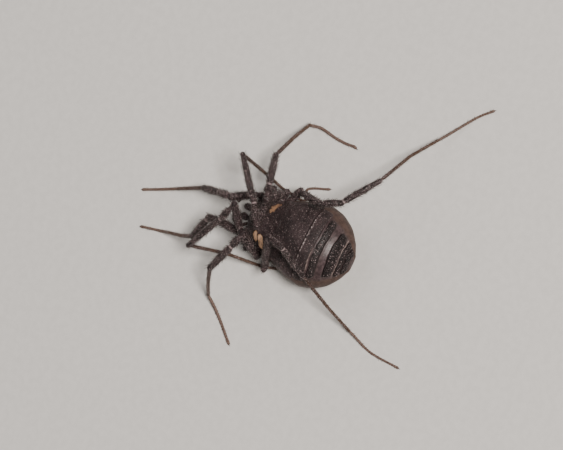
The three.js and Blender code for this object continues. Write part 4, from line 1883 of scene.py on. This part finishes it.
@dataclass
class Head:
    """Eye hill, eyes, jaws and feelers, with sizes in millimetres."""

    hill_y: float = -0.37
    hill_z: float = 0.93
    hill_half: float = 0.13
    hill_length: float = 0.1
    hill_height: float = 0.12
    hill_rings: int = 60
    hill_sides: int = 72
    hill_groove: float = 0.012
    eye_radius: float = 0.05
    eye_out: float = 0.1
    eye_up: float = 0.055
    socket: float = 1.1
    socket_depth: float = 0.6
    jaw_root: tuple[float, float, float] = (0.115, -0.62, 0.64)
    jaw_base: Stops = field(default_factory=lambda: [
        (0, 0.05), (0.4, 0.075), (0.75, 0.071), (0.95, 0.04), (1, 0.01),
    ])
    jaw_hand: Stops = field(default_factory=lambda: [
        (0, 0.01), (0.04, 0.035), (0.14, 0.055), (0.35, 0.076), (0.7, 0.065), (0.92, 0.042), (1, 0.012),
    ])
    jaw_rings: int = 60
    hand_pitch: float = -74.0
    hand_length: float = 0.36
    finger_spread: float = 14.0
    finger_pitch: float = -70.0
    finger_length: float = 0.172
    finger_curl: float = 0.02
    finger_rings: int = 30
    finger_profile: Stops = field(default_factory=lambda: [(0, 0.026), (0.5, 0.02), (0.9, 0.01), (1, 0.005)])
    palp_root: tuple[float, float, float] = (0.19, -0.6, 0.45)
    palp_lengths: list[tuple[float, float, float, float]] = field(default_factory=lambda: [
        (0.36, 0.04, 36, -6), (0.27, 0.038, -30, -24), (0.22, 0.034, -50, -50), (0.12, 0.026, -62, -30),
    ])  # length, radius, bearing and pitch
    palp_profile: Stops = field(default_factory=lambda: [
        (0, 0.62), (0.1, 0.55), (0.3, 0.9), (0.7, 1.0), (0.92, 0.85), (1.0, 0.62), (1.06, 0.25),
    ])
    palp_rings: int = 46
    strip: float = 0.2
    strip_step: float = 0.25

    def eye_centre(self, side: Side) -> np.ndarray:
        """Finds the middle of an eye."""
        return side.place((self.eye_out, self.hill_y, self.hill_z + self.eye_up))

    def eye_hill(self, skin: bpy.types.Material, glint: bpy.types.Material) -> bpy.types.Object:
        """Builds the hill that carries the eyes.

        Args:
            skin: finish of the hill.
            glint: finish of its grains.

        Returns:
            The finished piece.
        """
        turn = np.radians(np.linspace(2, 178, self.hill_rings))[:, None]
        angle = np.linspace(2 * np.pi, 0, self.hill_sides, endpoint=False)[None]
        x = np.sin(turn) * np.cos(angle) * self.hill_half
        y = np.sin(turn) * np.sin(angle) * self.hill_length
        z = np.cos(turn) * self.hill_height + 0 * angle
        points = np.stack([x, y + self.hill_y, z + self.hill_z], -1)
        points[..., 2] -= self.hill_groove * (ridge(0.0, 0.02, x) * smooth(0.02, 0.08, z))
        for side in Side:
            distance = np.linalg.norm(points - self.eye_centre(side), axis=-1)
            push = np.maximum(self.eye_radius * self.socket - distance, 0)
            inward = np.array([-side.value * 0.8, 0, -0.6])
            points = points + inward * push[..., None] * self.socket_depth
        flat = 0 * x
        values = {key: np.zeros(points.shape[:2]) for key in HEAD_VALUES}
        values["grain"] = 1.25 * (np.abs(x) < 0.09) * (z > -0.04)
        values["along"] = np.zeros_like(points) + np.array([0.0, -0.3, 1.0])
        values["place"] = np.stack([turn / np.pi + flat, angle / 2 / np.pi + flat, flat], -1)
        start = np.array([0.0, self.hill_y, self.hill_z + self.hill_height - self.hill_groove])
        end = np.array([0.0, self.hill_y, self.hill_z - self.hill_height])
        piece = finished("eye_hill_skin", [Shell(points, start, end, values)], skin)
        attach(GRAINS.over(piece, "grains_eye_hill", glint), "cuticle")
        attach(piece, "cuticle", "eye_hill")
        return piece

    def eye(self, side: Side, glass: bpy.types.Material) -> None:
        """Builds one eye.

        Args:
            side: side of the eye.
            glass: finish of the eye.
        """
        turn = np.radians(np.linspace(4, 176, 30))
        way = unit(np.array([side.value * 0.8, -0.1, 0.6]))
        route = self.eye_centre(side) + way * (-np.cos(turn) * self.eye_radius)[:, None]
        shell = tube(route, np.sin(turn) * self.eye_radius, 36, None, (0.0001, 0.0001))
        attach(finished(f"eye_{side.word}_lens", [shell], glass), "eye", f"eye_{side.word}")

    def jaw(self, side: Side, skin: bpy.types.Material, horn: bpy.types.Material) -> bpy.types.Object:
        """Builds one jaw with its hand, two toothed fingers and bristles.

        Args:
            side: side of the jaw.
            skin: finish of the jaw.
            horn: finish of teeth and bristles.

        Returns:
            The finished piece.
        """
        root = side.place(self.jaw_root)
        shoulder = root + np.array([0, -0.15, 0])
        down = heading(0, self.hand_pitch)
        wrist = shoulder + down * self.hand_length
        lengths = (
            (root, shoulder + np.array([0, -0.07, 0]), self.jaw_base),
            (shoulder - down * 0.06, wrist + down * 0.03, self.jaw_hand),
        )
        shells, teeth = [], []
        t = np.linspace(0, 1, self.jaw_rings)
        for begin, end, stops in lengths:
            route = begin + (end - begin) * t[:, None]
            values = ring_values(HEAD_VALUES, len(t), hair=0.8)
            shells.append(tube(route, along_stops(stops, t), 30, values, (0.003, 0.003)))
        t = np.linspace(0, 1, self.finger_rings)
        for turn in (-1, 1):
            way = heading(turn * self.finger_spread, self.finger_pitch)
            aside = heading(turn * self.finger_spread + 90, 0) * turn
            curl = aside * (self.finger_curl * np.sin(np.pi * t))[:, None]
            route = wrist - way * 0.03 + way * (self.finger_length * t)[:, None] + curl
            reach = along_stops(self.finger_profile, t)
            shells.append(tube(route, reach, 16, ring_values(HEAD_VALUES, len(t)), (0, 0.003)))
            teeth += [self.tooth(route[k], aside, reach[k]) for k in range(11, 27, 3)]
        lay_out(shells, self.strip, self.strip_step)
        piece = finished(f"jaw_{side.word}_skin", shells, skin)
        attach(FINE_BRISTLES.over(piece, f"bristles_jaw_{side.word}", horn), "foot")
        attach(finished(f"teeth_{side.word}", teeth, horn), "foot")
        attach(piece, "cuticle", f"jaw_{side.word}")
        return piece

    def tooth(self, root: np.ndarray, way: np.ndarray, depth: float) -> Shell:
        """Builds one tooth of a finger.

        Args:
            root: middle of the finger at the tooth.
            way: direction of the tooth.
            depth: radius of the finger there.

        Returns:
            The shell.
        """
        t = np.linspace(0, 1, 6)
        route = root + way * (depth * 0.6 + 0.5 * depth * t + 0.006 * t)[:, None]
        return tube(route, depth * (0.3 - 0.26 * t), 8, None, (0.0, 0.0005))

    def palp(self, side: Side, skin: bpy.types.Material, horn: bpy.types.Material) -> bpy.types.Object:
        """Builds one feeler with its bristles.

        Args:
            side: side of the feeler.
            skin: finish of the feeler.
            horn: finish of the bristles.

        Returns:
            The finished piece.
        """
        joint = side.place(self.palp_root)
        t = np.linspace(0, self.palp_profile[-1][0], self.palp_rings)
        reach = along_stops(self.palp_profile, t)
        pale = fade(0.02, 0.14, t) * 0.8
        shells = []
        for length, radius, bearing, pitch in self.palp_lengths:
            way = heading(-side.value * bearing, pitch)
            route = joint + way * (t * length)[:, None]
            values = ring_values(HEAD_VALUES, len(t), pale=pale * 0.3, foot=0.2, hair=1.0 - 1.2 * pale)
            shells.append(tube(route, reach * radius, 20, values, (0.0, 0.004)))
            joint = joint + way * length
        lay_out(shells, self.strip, self.strip_step)
        piece = finished(f"palp_{side.word}_skin", shells, skin)
        attach(FINE_BRISTLES.over(piece, f"bristles_palp_{side.word}", horn), "foot")
        attach(piece, "cuticle", f"palp_{side.word}_upper", f"palp_{side.word}_lower")
        return piece


@dataclass(frozen=True)
class Lamp:
    """One soft round lamp aimed at the animal, with its place and size in metres."""

    name: str
    place: tuple[float, float, float]
    size: float
    energy: float
    colour: Colour

    def hang(self) -> None:
        """Hangs the lamp."""
        data = bpy.data.lights.new(self.name, "AREA")
        data.shape = "DISK"
        data.size = self.size
        data.energy = self.energy
        data.color = self.colour
        lamp = bpy.data.objects.new(self.name, data)
        lamp.location = self.place
        aim = Vector((0, 0, 0.001)) - Vector(self.place)
        lamp.rotation_euler = aim.to_track_quat("-Z", "Y").to_euler()
        bpy.context.scene.collection.objects.link(lamp)


LAMPS = (
    Lamp("key_light", (-0.02, 0.065, 0.112), 0.034, 0.23, (1.0, 0.93, 0.87)),
    Lamp("fill_light", (-0.03, -0.07, 0.11), 0.09, 0.04, (1.0, 0.95, 0.91)),
)


@dataclass
class Studio:
    """Camera at the photograph's angle, pale floor and soft light.

    One pixel of the photograph is px millimetres at the body, and the point mark of the picture shows
    the place mark_at of the animal's own frame.
    """

    px: float = 0.0223
    width: int = 563
    height: int = 450
    tilt_rear: float = 22.0
    tilt_right: float = 4.0
    turn: float = 26.5
    distance: float = 90.0
    sensor: float = 36.0
    mark: tuple[float, float] = (266.0, 223.0)
    mark_at: tuple[float, float, float] = (0.0, 0.0, 1.1)
    floor_half: float = 0.25
    floor_dark: Colour = (0.62, 0.61, 0.59)
    floor_pale: Colour = (0.66, 0.65, 0.63)
    surroundings: Colour = (1.0, 0.95, 0.91)
    surroundings_strength: float = 0.15

    def camera(self) -> None:
        """Places the camera."""
        slopes = [math.tan(math.radians(angle)) for angle in (self.tilt_right, self.tilt_rear)]
        back = unit(np.array([-slopes[0], slopes[1], 1.0]))
        north = unit(np.array([0.0, 1.0, 0.0]) - back[1] * back)
        east = np.cross(back, north)
        right = math.cos(math.radians(self.turn)) * north + math.sin(math.radians(self.turn)) * east
        up = np.cross(back, right)
        centre = np.array(self.mark_at) + part_offset() + back * self.distance
        centre = centre + right * (self.width / 2 - self.mark[0]) * self.px
        centre = centre - up * (self.height / 2 - self.mark[1]) * self.px
        data = bpy.data.cameras.new("camera")
        data.sensor_width = self.sensor
        data.lens = self.sensor * self.distance / (self.width * self.px)
        data.clip_start = 0.005
        data.clip_end = 5.0
        camera = bpy.data.objects.new("camera", data)
        place = np.eye(4)
        place[:3, :3] = np.stack([right, up, back], axis=-1)
        place[:3, 3] = centre * MM
        camera.matrix_world = Matrix(place.tolist())
        bpy.context.scene.collection.objects.link(camera)
        bpy.context.scene.camera = camera

    def floor(self) -> None:
        """Lays the pale floor."""
        s = Shader("pale_floor")
        colour = s.blend(s.ramp(s.noise(6.0, 3.0), 0.3, 0.7), self.floor_dark, self.floor_pale)
        material = s.surface(Base_Color=colour, Roughness=0.8)
        mesh = bpy.data.meshes.new("floor")
        half = self.floor_half
        corners = [(-half, -half, 0), (half, -half, 0), (half, half, 0), (-half, half, 0)]
        mesh.from_pydata(corners, [], [(0, 1, 2, 3)])
        mesh.materials.append(material)
        floor = bpy.data.objects.new("floor", mesh)
        bpy.context.scene.collection.objects.link(floor)

    def lights(self) -> None:
        """Hangs the lamps and sets the pale surroundings."""
        for lamp in LAMPS:
            lamp.hang()
        world = bpy.data.worlds.new("surroundings")
        world.use_nodes = True
        background = world.node_tree.nodes["Background"]
        background.inputs["Color"].default_value = (*self.surroundings, 1.0)
        background.inputs["Strength"].default_value = self.surroundings_strength
        bpy.context.scene.world = world


def main() -> None:
    """Builds the animal piece by piece, then camera, floor and light."""
    logging.basicConfig(level=logging.INFO, format="%(message)s")
    studio = Studio()
    studio.camera()
    studio.floor()
    studio.lights()
    skin, horn, glass = LegSkin().material(), Horn().material(), EyeGlass().material()
    # On the leg grains a dot above 1 spreads the painted glints over whole grains here and there.
    glint = LegSkin(name="leg_grain", dot=1.2, painted_glintle=0.6, specular=0.4).material()
    Body().build()
    head = Head()
    head.eye_hill(skin, glint)
    for side in Side:
        head.eye(side, glass)
        head.jaw(side, skin, horn)
        head.palp(side, skin, horn)
        for pair in LEG_ROWS:
            Leg(side, pair).build(skin, glint, horn)


if __name__ == "__main__":
    main()
